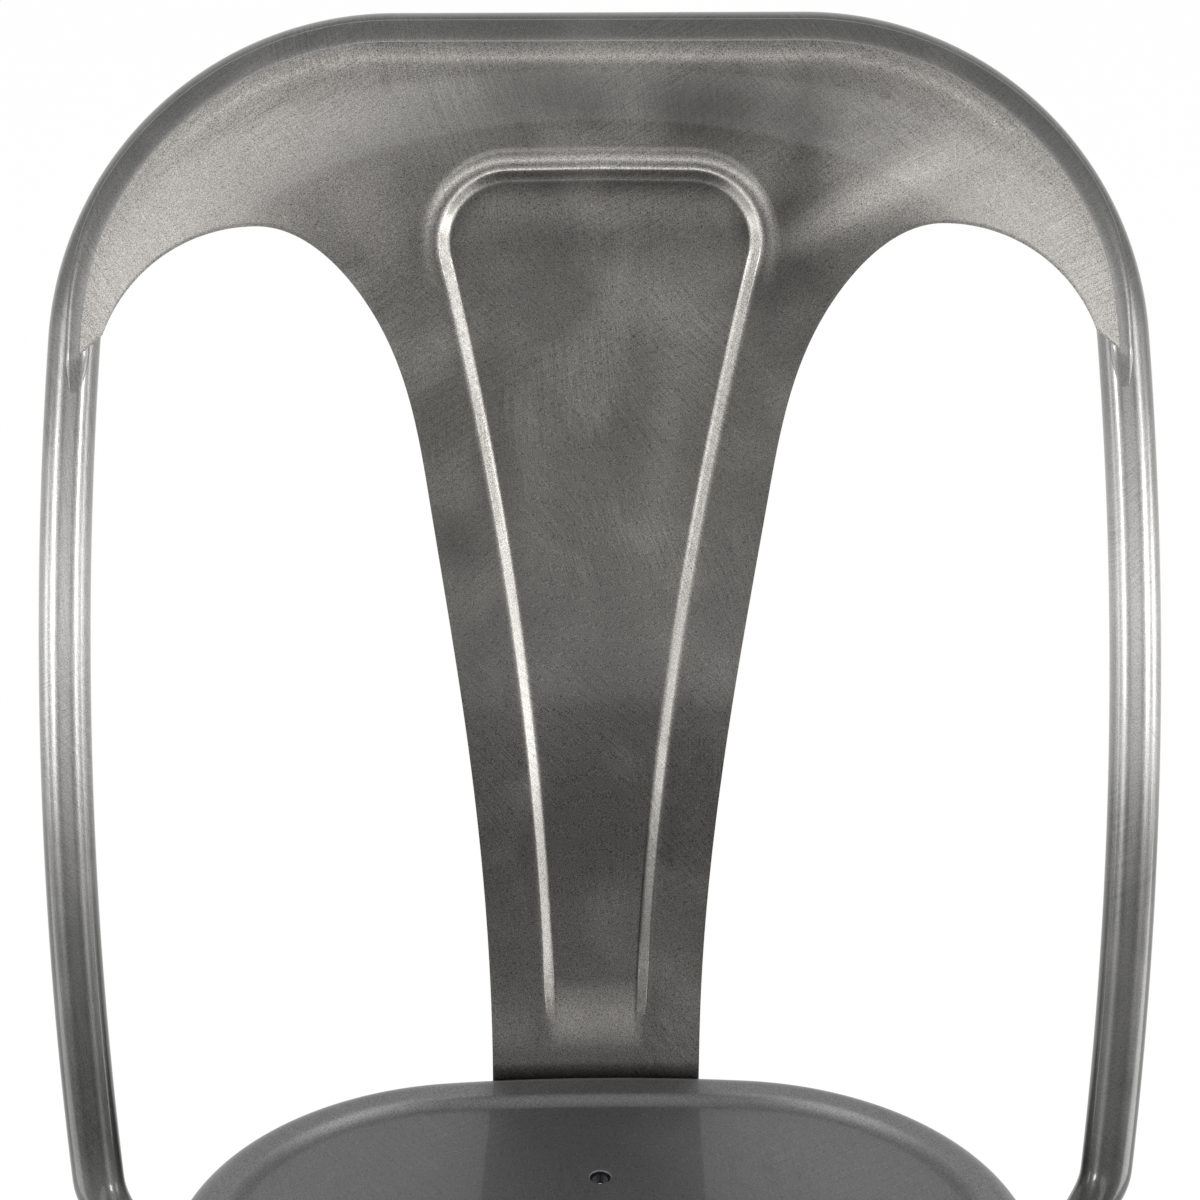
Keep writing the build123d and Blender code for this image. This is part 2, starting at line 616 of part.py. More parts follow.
def leg(side_x, side_y, splay):
    top = gutter(leg_crown, leg_tab_radius, leg_tab_angle, 0)
    foot = gutter(leg_crown_top + splay, LEG_FOOT_RADIUS, LEG_FOOT_HALF_ANGLE, 0)
    tab = Pos(0, 0, leg_bend_height) * extrude(top, leg_tab_top - leg_bend_height)
    shin = loft([Pos(0, 0, CAP_HEIGHT) * foot, Pos(0, 0, leg_bend_height) * top], ruled=True)
    stub = Pos(0, 0, CAP_SOLE) * extrude(foot, CAP_HEIGHT - CAP_SOLE)
    return corner_frame(side_x, side_y) * (tab + shin + stub)


def foot_cap(side_x, side_y, splay):
    # Round rubber boot with a curved slot for the end of the gutter
    middle = leg_crown_top + splay - LEG_FOOT_RADIUS
    slot_angle = LEG_FOOT_HALF_ANGLE + CAP_SLOT_END_ANGLE
    slot = gutter(leg_crown_top + splay, LEG_FOOT_RADIUS, slot_angle, CAP_CLEARANCE)
    body = Pos(middle, 0, 0) * loft(
        [Circle(CAP_DIAMETER / 2), Pos(0, 0, CAP_HEIGHT) * Circle(CAP_TOP_DIAMETER / 2)]
    )
    pocket = Pos(0, 0, CAP_SOLE) * extrude(slot, CAP_HEIGHT)
    return corner_frame(side_x, side_y) * (body - pocket)


# Crossed brace: two flat bars, bolted together in the middle and riveted inside the legs

def crown_at(height, splay):
    share = (leg_bend_height - height) / leg_crown_drop
    return leg_crown + (splay + SEATING_GAP) * share


def brace_seat(height, splay):
    # Place on the leg's outer crown, square to the leg
    slope = math.atan2(splay + SEATING_GAP, leg_crown_drop)
    return crown_at(height, splay), slope


brace_half = BRACE_WIDTH / 2
share_down = (BRACE_DROP + BRACE_TAB - SKIRT_HEIGHT - LEG_BEND_DROP) / leg_crown_drop
brace_wall_radius = leg_tab_radius + (LEG_FOOT_RADIUS - leg_tab_radius) * share_down - LEG_SHEET
brace_sagitta = brace_wall_radius - math.sqrt(brace_wall_radius ** 2 - brace_half ** 2)
brace_inset = LEG_SHEET + brace_sagitta + SEATING_GAP


def brace_end(height, splay, down):
    # Middle line of the bar where it turns down along the leg
    crown, slope = brace_seat(height - down, splay)
    return crown - (brace_inset + BRACE_THICKNESS / 2) / math.cos(slope)


def brace(side_x, level):
    height = SEAT_HEIGHT - BRACE_DROP + level * BRACE_THICKNESS
    front, rear = FRONT_LEG_SPLAY, REAR_LEG_SPLAY
    line = FilletPolyline(
        (-brace_end(height, front, BRACE_TAB), height - BRACE_TAB),
        (-brace_end(height, front, 0), height),
        (brace_end(height, rear, 0), height),
        (brace_end(height, rear, BRACE_TAB), height - BRACE_TAB),
        radius=BRACE_BEND_RADIUS,
    )
    along = (side_x * diagonal[0], diagonal[1], 0)
    plane = Plane(origin=(0, seat_y, 0), x_dir=along, z_dir=Vector(*along).cross(Vector(0, 0, 1)))
    path = plane * Wire(line.edges())
    section = Plane(origin=path @ 0, x_dir=plane.z_dir, z_dir=path % 0)
    bar = sweep(section * Rectangle(BRACE_WIDTH, BRACE_THICKNESS), path=path)
    return bar - Pos(0, seat_y, height) * Cylinder(bolt_hole / 2, 2 * BRACE_THICKNESS)


def brace_rivet_place(side_x, side_y, level, splay):
    height = SEAT_HEIGHT - BRACE_DROP + level * BRACE_THICKNESS - BRACE_RIVET_DROP
    crown, slope = brace_seat(height, splay)
    out = Vector(side_x * diagonal[0], side_y * diagonal[1], 0)
    normal = out * math.cos(slope) + Vector(0, 0, 1) * math.sin(slope)
    point = Vector(0, seat_y, height) + out * crown
    return Plane(origin=point, x_dir=out.cross(Vector(0, 0, 1)), z_dir=normal)


leg_names = {(-1, -1): "front_left", (1, -1): "front_right", (-1, 1): "rear_left", (1, 1): "rear_right"}
brace_rivet_places = []
for (side_x, side_y), name in leg_names.items():
    splay = FRONT_LEG_SPLAY if side_y < 0 else REAR_LEG_SPLAY
    level = 0 if side_x * side_y > 0 else 1
    seat_place = brace_rivet_place(side_x, side_y, level, splay)
    brace_rivet_places.append(seat_place)
    gutter_leg = leg(side_x, side_y, splay) - drill(seat_place, rivet_hole, WASHER_DIAMETER)
    for place in leg_rivet_places:
        gutter_leg -= drill(place, rivet_hole, WASHER_DIAMETER)
    save(f"{name}_leg", [gutter_leg])
    save(f"{name}_foot_cap", [foot_cap(side_x, side_y, splay)])

for side_x, level, name in ((1, 0, "lower"), (-1, 1, "upper")):
    bar = brace(side_x, level)
    for place in brace_rivet_places:
        bar -= drill(place, rivet_hole, WASHER_DIAMETER)
    save(f"{name}_brace_bar", [bar])

# Fasteners

brace_grip = brace_inset + BRACE_THICKNESS
save("brace_rivets", [rivet(place, brace_grip) for place in brace_rivet_places])
leg_grip = SEAT_SHEET + SEATING_GAP + LEG_SHEET
save("leg_rivets", [rivet(place, leg_grip) for place in leg_rivet_places])

brace_top = SEAT_HEIGHT - BRACE_DROP + 1.5 * BRACE_THICKNESS
brace_bolt_place = Plane(origin=(0, seat_y, brace_top))
brace_stack = 2 * BRACE_THICKNESS
save("brace_bolt", [bolt(brace_bolt_place, brace_stack)])
save("brace_washer", [washer(brace_bolt_place, brace_stack)])
save("brace_nut", [nut(brace_bolt_place, brace_stack)])

tube_grip = blade_stack + SEATING_GAP + SEAT_SHEET
save("tube_bolts", [bolt(place, tube_grip) for place in blade_bolt_places])
save("tube_washers", [washer(place, tube_grip) for place in blade_bolt_places])
save("tube_nuts", [nut(place, tube_grip) for place in blade_bolt_places])

splat_grip = splat_stack + SEATING_GAP + SEAT_SHEET
save("splat_bolts", [bolt(place, splat_grip) for place in splat_bolt_places])
save("splat_washers", [washer(place, splat_grip) for place in splat_bolt_places])
save("splat_nuts", [nut(place, splat_grip) for place in splat_bolt_places])
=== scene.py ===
import bmesh
import bpy
import math
import numpy as np
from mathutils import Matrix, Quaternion, Vector
from mathutils.geometry import delaunay_2d_cdt
from mathutils.kdtree import KDTree


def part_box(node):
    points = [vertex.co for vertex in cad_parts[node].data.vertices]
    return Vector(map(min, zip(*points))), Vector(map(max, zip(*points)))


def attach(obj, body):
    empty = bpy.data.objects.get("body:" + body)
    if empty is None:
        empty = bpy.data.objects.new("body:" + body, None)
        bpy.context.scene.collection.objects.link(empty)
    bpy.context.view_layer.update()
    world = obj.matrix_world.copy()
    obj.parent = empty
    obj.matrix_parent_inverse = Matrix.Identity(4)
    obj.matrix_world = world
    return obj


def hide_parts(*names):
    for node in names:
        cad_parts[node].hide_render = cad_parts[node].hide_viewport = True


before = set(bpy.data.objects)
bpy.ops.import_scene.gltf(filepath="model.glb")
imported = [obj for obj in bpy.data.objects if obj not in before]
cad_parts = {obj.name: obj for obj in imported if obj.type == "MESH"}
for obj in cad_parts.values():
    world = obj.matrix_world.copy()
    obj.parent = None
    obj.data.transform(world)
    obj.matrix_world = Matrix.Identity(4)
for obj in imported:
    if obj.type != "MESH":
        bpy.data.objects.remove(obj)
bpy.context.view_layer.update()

# Seat pan: one deep-drawn sheet of steel under clear lacquer. Its edge rolls over into a skirt, the field
# inside the rim is pressed lower and slightly dished, and four drain holes are punched through it.

pan_low, pan_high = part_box("seat_pan")
seat_top = pan_high[2]
skirt_bottom = pan_low[2]
seat_half_width = pan_high[0]
seat_half_depth = (pan_high[1] - pan_low[1]) / 2
seat_y = (pan_high[1] + pan_low[1]) / 2
seat_side_radius = 0.350
seat_end_radius = 0.600
seat_corner_radius = 0.115
pan_edge_round = 0.008
pan_sheet = 0.0012
rim_inner = 0.0155
field_edge = 0.0220
field_drop = 0.0030
dish_sag = 0.0050
dish_inset = 0.019
drain_radius = 0.0039
drain_round = 0.0007
drain_collar = 0.0060
drain_circle = 0.113
drain_segments = 48
join_reach = 0.000002


class Finish:
    # One socket of a node tree: sums and products of sockets add the Math nodes they need

    def __init__(self, tree, socket=None):
        self.tree = tree
        self.socket = socket

    def node(self, kind, settings=None, inputs=None, out=0):
        made = self.tree.nodes.new(kind)
        for name, value in (settings or {}).items():
            setattr(made, name, value)
        for name, value in (inputs or {}).items():
            if isinstance(value, Finish):
                self.tree.links.new(value.socket, made.inputs[name])
            else:
                made.inputs[name].default_value = value
        return Finish(self.tree, made.outputs[out] if made.outputs else None)

    def maths(self, operation, first, second):
        return self.node("ShaderNodeMath", {"operation": operation}, {0: first, 1: second})

    def noise(self, vector, scale, detail, rough=0.5, out=0):
        return self.node("ShaderNodeTexNoise", {}, {
            "Vector": vector, "Scale": scale, "Detail": detail, "Roughness": rough}, out)

    def shifted(self, by):
        return self.node("ShaderNodeVectorMath", {"operation": "ADD"}, {0: self, 1: by})

    def scaled(self, by):
        return self.node("ShaderNodeVectorMath", {"operation": "SCALE"}, {0: self, "Scale": by})

    def between(self, factor, dark, light, clamped=True):
        return self.node("ShaderNodeMix", {"data_type": "RGBA", "clamp_factor": clamped}, {
            "Factor": factor, 6: dark, 7: light}, out=2)

    def __add__(self, other):
        return self.maths("ADD", self, other)

    def __radd__(self, other):
        return self.maths("ADD", other, self)

    def __sub__(self, other):
        return self.maths("SUBTRACT", self, other)

    def __mul__(self, other):
        return self.maths("MULTIPLY", self, other)

    def __rmul__(self, other):
        return self.maths("MULTIPLY", other, self)


def new_finish(name):
    material = bpy.data.materials.new(name)
    material.use_nodes = True
    material.node_tree.nodes.clear()
    at = Finish(material.node_tree)
    return material, at, at.node("ShaderNodeTexCoord", out="Object")


def ground_steel(name, dark, light, lay, rough, patchy, speck, brush, tone_and_painted_light=None):
    # Raw steel dressed with a hand grinder and lacquered: soft clouds, curved strokes, crossing patches of
    # fine brush lines in the plane that the piece is laid flat in, and a metallic grain. Speck and brush are
    # how strongly the grain and the lines show; the attribute named last holds the grinder tone and the
    # painted light and shade kept at a piece's points.
    material, at, place = new_finish(name)
    flat = at.node("ShaderNodeMapping", {}, {"Vector": place, "Rotation": lay})
    sway = at.noise(flat, 9.0, 1.0, out="Color")
    curved = flat.shifted(sway.scaled(0.035))

    def soft_patch(vector, scale, detail, low, high):
        return at.node("ShaderNodeMapRange", {"interpolation_type": "SMOOTHSTEP"}, {
            "Value": at.noise(vector, scale, detail, 0.45), "From Min": low, "From Max": high})

    cloud = soft_patch(curved, 13.0, 2.0, 0.36, 0.66)
    stroke = soft_patch(curved, 30.0, 1.0, 0.46, 0.72)
    line_length, line_pitch = 1 / 60, 1 / 2500
    scratch = 0.0
    for turn, shift in ((0.55, 0.0), (-0.80, 3.1), (1.75, 7.7)):
        strip = at.node("ShaderNodeMapping", {"vector_type": "TEXTURE"}, {
            "Vector": curved, "Location": (shift, shift, 0), "Rotation": (0, 0, turn),
            "Scale": (line_length, line_pitch, line_length)})
        hair = at.noise(strip, 1.0, 2.0, 0.6)
        moved = flat.shifted((shift, -shift, shift))
        scratch = scratch + (hair - 0.5) * soft_patch(moved, 15.0, 1.0, 0.47, 0.62)
    grain = at.noise(place, 2900.0, 0.0)
    tone = (cloud * 0.11 + stroke * 0.12) * patchy
    if tone_and_painted_light:
        tone = tone + at.node("ShaderNodeAttribute", {"attribute_name": tone_and_painted_light}, out="Fac")
    colour = at.between(tone, dark, light, clamped=False)
    colour = colour.scaled(1.0 + (grain - 0.5) * speck + scratch * brush)
    relief = at.node("ShaderNodeBump", {}, {
        "Strength": 0.35, "Distance": 0.00006, "Height": scratch * patchy + (grain - 0.5) * 0.5})
    steel = at.node("ShaderNodeBsdfPrincipled", {}, {
        "Base Color": colour, "Metallic": 1.0, "Roughness": rough + 0.06 * stroke + 0.12 * (grain - 0.5),
        "Normal": relief, "Coat Weight": 0.5, "Coat Roughness": 0.06, "Coat IOR": 1.5})
    at.node("ShaderNodeOutputMaterial", {}, {"Surface": steel})
    return material


def in_scene(name, data):
    thing = bpy.data.objects.new(name, data)
    bpy.context.scene.collection.objects.link(thing)
    return thing


def mesh_of(name, points, edges, faces):
    mesh = bpy.data.meshes.new(name)
    mesh.from_pydata(points, edges, faces)
    return mesh


def mark(mesh, name, values, kind="FLOAT"):
    # A number or a direction kept at each point of a mesh
    layer = mesh.attributes.new(name, kind, "POINT")
    layer.data.foreach_set("vector" if kind == "FLOAT_VECTOR" else "value", values)


def finished_piece(name, mesh, material, slot, *nodes):
    # A finished mesh becomes a piece of the chair that stands for its solids
    mesh.materials.clear()
    mesh.materials.append(material)
    piece = in_scene(name, mesh)
    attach(piece, "root")
    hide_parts(*nodes)


def smooth_to(mesh, degrees):
    # Smooth shading that keeps the folds sharper than an angle crisp
    shell = bmesh.new()
    shell.from_mesh(mesh)
    for face in shell.faces:
        face.smooth = True
    for edge in shell.edges:
        edge.smooth = len(edge.link_faces) == 2 and edge.calc_face_angle(0) < math.radians(degrees)
    shell.to_mesh(mesh)
    shell.free()


side_centre = seat_half_width - seat_side_radius
end_centre = seat_half_depth - seat_end_radius
corner_to_side = seat_side_radius - seat_corner_radius
corner_to_end = seat_end_radius - seat_corner_radius
span = math.hypot(side_centre, end_centre)
along_span = (corner_to_side ** 2 - corner_to_end ** 2 + span ** 2) / (2 * span)
across_span = math.sqrt(corner_to_side ** 2 - along_span ** 2)
to_end = (-side_centre / span, end_centre / span)
seat_corner = (
    side_centre + along_span * to_end[0] - across_span * to_end[1],
    along_span * to_end[1] + across_span * to_end[0],
)
side_swing = math.atan2(seat_corner[1], seat_corner[0] - side_centre)
end_swing = math.atan2(seat_corner[1] - end_centre, seat_corner[0])
quarter = np.concatenate([
    np.linspace(0, side_swing, 26, endpoint=False),
    np.linspace(side_swing, end_swing, 44, endpoint=False),
    np.linspace(end_swing, math.pi / 2, 18, endpoint=False),
])
half_turn = np.concatenate([quarter, [math.pi / 2], math.pi - quarter[:0:-1]])
outline_turns = np.concatenate([half_turn, half_turn + math.pi])


def pan_ring(inset):
    # Plan of the pan at an inset from its edge, from the four big arcs and the corner arcs
    ring = []
    for turn in outline_turns:
        out = (abs(math.cos(turn)), abs(math.sin(turn)))
        lean = math.atan2(out[1], out[0])
        centre, radius = seat_corner, seat_corner_radius
        if lean < side_swing:
            centre, radius = (side_centre, 0.0), seat_side_radius
        if lean > end_swing:
            centre, radius = (0.0, end_centre), seat_end_radius
        x = centre[0] + (radius - inset) * out[0]
        y = centre[1] + (radius - inset) * out[1]
        ring.append((math.copysign(x, math.cos(turn)), math.copysign(y, math.sin(turn))))
    return np.array(ring)


dish_edge = seat_half_depth - dish_inset
dish_radius = (dish_edge ** 2 + dish_sag ** 2) / (2 * dish_sag)


def dish_height(x, y):
    ball = seat_top - field_drop + math.sqrt(dish_radius ** 2 - dish_edge ** 2)
    return ball - np.sqrt(dish_radius ** 2 - x ** 2 - y ** 2)


def ease(share):
    share = np.clip(share, 0, 1)
    return share * share * (3 - 2 * share)


def ridge(values, middle, width):
    return np.exp(-((values - middle) / width) ** 2)


def pressed_pan():
    rings = []
    for height in np.linspace(skirt_bottom, seat_top - pan_edge_round, 8):
        rings.append((pan_ring(0), height))
    for turn in np.linspace(0, math.pi / 2, 13)[1:]:
        inset = pan_edge_round * (1 - math.cos(turn))
        rings.append((pan_ring(inset), seat_top - pan_edge_round * (1 - math.sin(turn))))
    for inset in np.linspace(pan_edge_round, rim_inner, 5)[1:]:
        rings.append((pan_ring(inset), seat_top))
    for inset in np.linspace(rim_inner, field_edge, 13)[1:]:
        ring = pan_ring(inset)
        share = ease((inset - rim_inner) / (field_edge - rim_inner))
        rings.append((ring, seat_top + (dish_height(ring[:, 0], ring[:, 1]) - seat_top) * share))
    for size in np.linspace(1, 0, 36)[1:-1]:
        ring = pan_ring(field_edge) * size
        rings.append((ring, dish_height(ring[:, 0], ring[:, 1])))
    count = len(outline_turns)
    points = []
    for ring, height in rings:
        heights = np.broadcast_to(height, (count,))
        points += [(x, y + seat_y, z) for (x, y), z in zip(ring, heights)]
    points.append((0.0, seat_y, float(dish_height(0.0, 0.0))))
    faces = []
    for level in range(len(rings) - 1):
        for step in range(count):
            after = (step + 1) % count
            faces.append((level * count + step, level * count + after,
                          (level + 1) * count + after, (level + 1) * count + step))
    last = (len(rings) - 1) * count
    faces += [(last + step, last + (step + 1) % count, len(points) - 1) for step in range(count)]
    return mesh_of("seat_pan_sheet", points, [], faces)


drain_spots = [
    (drain_circle * math.sin(turn * math.pi / 2), drain_circle * math.cos(turn * math.pi / 2))
    for turn in range(4)
]


def drain_cutters():
    mouth = drain_radius + drain_round
    cutter = bmesh.new()
    for x, y in drain_spots:
        made = bmesh.ops.create_cone(
            cutter, cap_ends=True, segments=drain_segments, radius1=mouth, radius2=mouth, depth=0.04)
        bmesh.ops.translate(cutter, vec=Vector((x, seat_y + y, seat_top)), verts=made["verts"])
    mesh = bpy.data.meshes.new("drain_cutters")
    cutter.to_mesh(mesh)
    cutter.free()
    return in_scene("drain_cutters", mesh)


def add_drain_collars(mesh):
    # Drawn rim of each drain hole: rounded over the top and turned down into a short collar
    outside = drain_radius + pan_sheet * 0.6
    rings = [(drain_radius + drain_round * (1 - math.sin(t)), drain_round * (1 - math.cos(t)))
             for t in np.linspace(0, math.pi / 2, 8)]
    rings += [(drain_radius, drain_collar), (outside, drain_collar), (outside, drain_round + pan_sheet),
              (drain_radius + 2 * pan_sheet, pan_sheet)]
    shell = bmesh.new()
    shell.from_mesh(mesh)
    for spot in drain_spots:
        rows = []
        for radius, drop in rings:
            row = []
            for angle in np.linspace(0, 2 * math.pi, drain_segments, endpoint=False):
                x, y = spot[0] + radius * math.cos(angle), spot[1] + radius * math.sin(angle)
                row.append(shell.verts.new((x, y + seat_y, float(dish_height(x, y)) - drop)))
            rows.append(row)
        for upper, lower in zip(rows, rows[1:]):
            for k in range(drain_segments):
                after = (k + 1) % drain_segments
                shell.faces.new((upper[after], upper[k], lower[k], lower[after]))
    shell.to_mesh(mesh)
    shell.free()


def evaluated_mesh(draft):
    # The mesh that an object's modifiers give; the draft and its own mesh are thrown away
    bpy.context.view_layer.update()
    mesh = bpy.data.meshes.new_from_object(draft.evaluated_get(bpy.context.evaluated_depsgraph_get()))
    plain = draft.data
    bpy.data.objects.remove(draft)
    bpy.data.meshes.remove(plain)
    return mesh


pan_draft = in_scene("pan_draft", pressed_pan())
cutters = drain_cutters()
wall = pan_draft.modifiers.new("sheet", "SOLIDIFY")
wall.thickness = pan_sheet
wall.offset = -1.0
punch = pan_draft.modifiers.new("drains", "BOOLEAN")
punch.object = cutters
punch.solver = "EXACT"
pan_mesh = evaluated_mesh(pan_draft)
bpy.data.objects.remove(cutters)
add_drain_collars(pan_mesh)
smooth_to(pan_mesh, 40)
# Painted light: the rim is painted lighter as a sheen, the step inside it carries a painted highlight at the
# rear corners, and the drain collars are painted dark as shade
spots = np.array([v.co for v in pan_mesh.vertices])
rim_sheen = ease((spots[:, 2] - seat_top + 0.0030) / 0.0022)
edge_ring = pan_ring(0)[:len(outline_turns) // 2 + 1]
edge_reach = np.hypot(edge_ring[:, 0], edge_ring[:, 1])
edge_turn = np.degrees(np.arctan2(edge_ring[:, 1], edge_ring[:, 0]))
round_seat = np.degrees(np.arctan2(np.abs(spots[:, 0]), spots[:, 1] - seat_y))
under = dish_height(spots[:, 0], spots[:, 1] - seat_y) - spots[:, 2]
from_middle = np.hypot(spots[:, 0], spots[:, 1] - seat_y)
inset = np.interp(90 - round_seat, edge_turn, edge_reach) - from_middle
painted_rim_highlight = ridge(inset, 0.0170, 0.0022) * ridge(round_seat, 33, 10)
shaded_collar = (under > drain_round * 0.8) & (np.abs(from_middle - drain_circle) < drain_radius + drain_round)
mark(pan_mesh, "tone_and_painted_light", 0.14 * rim_sheen + 1.2 * painted_rim_highlight - 0.65 * shaded_collar)
pan_steel = ground_steel(
    "pan_steel", (0.178, 0.178, 0.181, 1), (0.42, 0.42, 0.42, 1), (0, 0, 0),
    rough=0.57, patchy=0.4, speck=1.3, brush=0.5, tone_and_painted_light="tone_and_painted_light")
finished_piece("seat_pan_sheet", pan_mesh, pan_steel, "lacquered_steel", "seat_pan")

# Legs: four steel gutters pressed from sheet, wide and shallow under the seat and narrow and deep at the
# foot. Each is riveted inside the skirt at a corner of the pan and lacquered with it.

def join_points(mesh, reach):
    shell = bmesh.new()
    shell.from_mesh(mesh)
    bmesh.ops.remove_doubles(shell, verts=shell.verts, dist=reach)
    shell.to_mesh(mesh)
    shell.free()


def dressed_copy(node, material, slot, fold=32):
    # A solid's own shape with its triangles joined, shaded smooth between its folds
    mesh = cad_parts[node].data.copy()
    mesh.name = node + "_dressed"
    join_points(mesh, join_reach)
    smooth_to(mesh, fold)
    finished_piece(node + "_dressed", mesh, material, slot, node)


leg_steel = ground_steel(
    "leg_steel", (0.13, 0.129, 0.126, 1), (0.42, 0.415, 0.40, 1), (math.pi / 2, 0, 0),
    rough=0.28, patchy=0.7, speck=1.4, brush=1.5)
leg_corners = ("front_left", "front_right", "rear_left", "rear_right")
for corner in leg_corners:
    dressed_copy(corner + "_leg", leg_steel, "lacquered_steel")

# Foot caps: black rubber boots pushed on to the ends of the legs, with a fine moulded texture.

rubber, at, boot_place = new_finish("boot_rubber")
pebble = at.noise(boot_place, 900.0, 2.0)
scuff = at.noise(boot_place, 60.0, 4.0)
boot_colour = at.between(scuff * 0.8, (0.012, 0.012, 0.012, 1), (0.045, 0.044, 0.042, 1))
boot_relief = at.node("ShaderNodeBump", {}, {"Strength": 0.4, "Distance": 0.0002, "Height": pebble})
boot = at.node("ShaderNodeBsdfPrincipled", {}, {
    "Base Color": boot_colour, "Roughness": 0.55 + 0.3 * scuff, "Normal": boot_relief})
at.node("ShaderNodeOutputMaterial", {}, {"Surface": boot})
for corner in leg_corners:
    dressed_copy(corner + "_foot_cap", rubber, "black_rubber")

# Crossed brace: two flat steel bars under the seat, bent down at their ends and riveted inside the legs.

for bar in ("lower_brace_bar", "upper_brace_bar"):
    dressed_copy(bar, leg_steel, "lacquered_steel")

# Back tube: one 19 mm steel tube bent to an arch that leans back. Both ends are pressed flat and bolted to
# the sides of the pan's skirt.

tube_radius = 0.0095
back_lean = math.radians(23.0)
arch_top = 0.4433
arch_half_width = 0.1965
arch_widest = 0.205
arch_corner_radius = 0.1175
arch_side_radius = 1.640
flatten_start = 0.026
blade_width = 0.027
blade_thickness = 0.0034
blade_drop = 0.014
blade_length = 0.030
blade_gap = 0.0001
tube_foot_setback = 0.115
# Painted light along the tube by height up the arch: painted shade towards the foot, a painted highlight half
# way up
painted_light_up_tube = (
    (0.06, 0.03), (0.12, 0.065), (0.15, 0.14), (0.19, 0.42), (0.235, 0.62), (0.28, 0.48), (0.31, 0.36),
    (0.34, 0.31), (0.435, 0.24),
)
lean_sin, lean_cos = math.sin(back_lean), math.cos(back_lean)
arch_foot_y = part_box("back_tube")[1][1] - arch_top * lean_sin - tube_radius
bow_centre = arch_half_width - arch_side_radius
corner_rise = arch_top - arch_corner_radius
corner_span = arch_side_radius - arch_corner_radius
corner_across = bow_centre + math.sqrt(corner_span ** 2 - (corner_rise - arch_widest) ** 2)
corner_swing = math.asin((corner_rise - arch_widest) / corner_span)


def on_arch(across, rise, behind):
    return Vector((across, arch_foot_y + rise * lean_sin + behind * lean_cos,
                   seat_top + rise * lean_cos - behind * lean_sin))


def side_spot(angle):
    # Place across and up the arch on the long bow of its side
    return (bow_centre + arch_side_radius * math.cos(angle),
            arch_widest + arch_side_radius * math.sin(angle))


def corner_spot(angle):
    return (corner_across + arch_corner_radius * math.cos(angle),
            corner_rise + arch_corner_radius * math.sin(angle))


def curve_weights(share):
    # Weights of a curve's first point and direction and of its last point and direction
    return (1 - 3 * share ** 2 + 2 * share ** 3, share - 2 * share ** 2 + share ** 3,
            3 * share ** 2 - 2 * share ** 3, share ** 3 - share ** 2)


def tube_across(rise):
    # Half width of the arch's centre line at a height up its plane
    rise = np.asarray(rise, dtype=float)
    above = np.minimum(rise, arch_top) - corner_rise
    corner = corner_across + np.sqrt(np.maximum(arch_corner_radius ** 2 - above ** 2, 0))
    side = bow_centre + np.sqrt(arch_side_radius ** 2 - (rise - arch_widest) ** 2)
    return np.where(rise > corner_rise + arch_corner_radius * math.sin(corner_swing), corner, side)


def right_half_line():
    # Stations of the tube from the right blade's end to the middle of the top:
    # centre, direction it is pressed in, direction it spreads in, thickness and width factors
    middle_drop = blade_drop + blade_length / 2 * lean_cos
    from_seat = seat_half_depth - tube_foot_setback - middle_drop * lean_sin / lean_cos
    swing = math.asin(from_seat / seat_side_radius)
    press = Vector((math.cos(swing), math.sin(swing), 0))
    skirt = Vector((
        side_centre + seat_side_radius * math.cos(swing), seat_y + from_seat, seat_top - middle_drop))
    down = Vector((0, -lean_sin, -lean_cos))
    down = (down - press * down.dot(press)).normalized()
    spread = down.cross(press)
    blade_top = skirt + press * (blade_gap + blade_thickness / 2) - down * (blade_length / 2)
    thin, wide = blade_thickness / (2 * tube_radius), blade_width / (2 * tube_radius)
    stations = []
    for reach in np.linspace(0, blade_width / 2, 14)[:-1]:
        round_end = math.sqrt(max(1 - ((blade_width / 2 - reach) / (blade_width / 2)) ** 2, 0.0004))
        stations.append((blade_top + down * (blade_length - reach), press, spread, thin, wide * round_end))
    for reach in np.linspace(blade_width / 2, blade_length, 6)[:-1]:
        stations.append((blade_top + down * (blade_length - reach), press, spread, thin, wide))
    start_angle = math.asin((flatten_start - arch_widest) / arch_side_radius)
    round_centre = on_arch(float(tube_across(flatten_start)), flatten_start, 0)
    up = (on_arch(-math.sin(start_angle), math.cos(start_angle), 0) - on_arch(0, 0, 0)).normalized()
    gap = (round_centre - blade_top).length
    for share in np.linspace(0, 1, 26)[:-1]:
        a, b, c, d = curve_weights(share)
        centre = blade_top * a - down * (gap * b) + round_centre * c + up * (gap * d)
        grown = float(ease(share))
        stations.append((centre, press, spread, thin + (1 - thin) * grown, wide + (1 - wide) * grown))
    for angle in np.linspace(start_angle, corner_swing, 120)[:-1]:
        stations.append((on_arch(*side_spot(angle), 0), press, spread, 1.0, 1.0))
    for angle in np.linspace(corner_swing, math.pi / 2, 72):
        stations.append((on_arch(*corner_spot(angle), 0), press, spread, 1.0, 1.0))
    for across in np.linspace(corner_across, 0, 30)[1:]:
        stations.append((on_arch(across, arch_top, 0), press, spread, 1.0, 1.0))
    return stations


def mirrored(vector):
    return Vector((-vector.x, vector.y, vector.z))


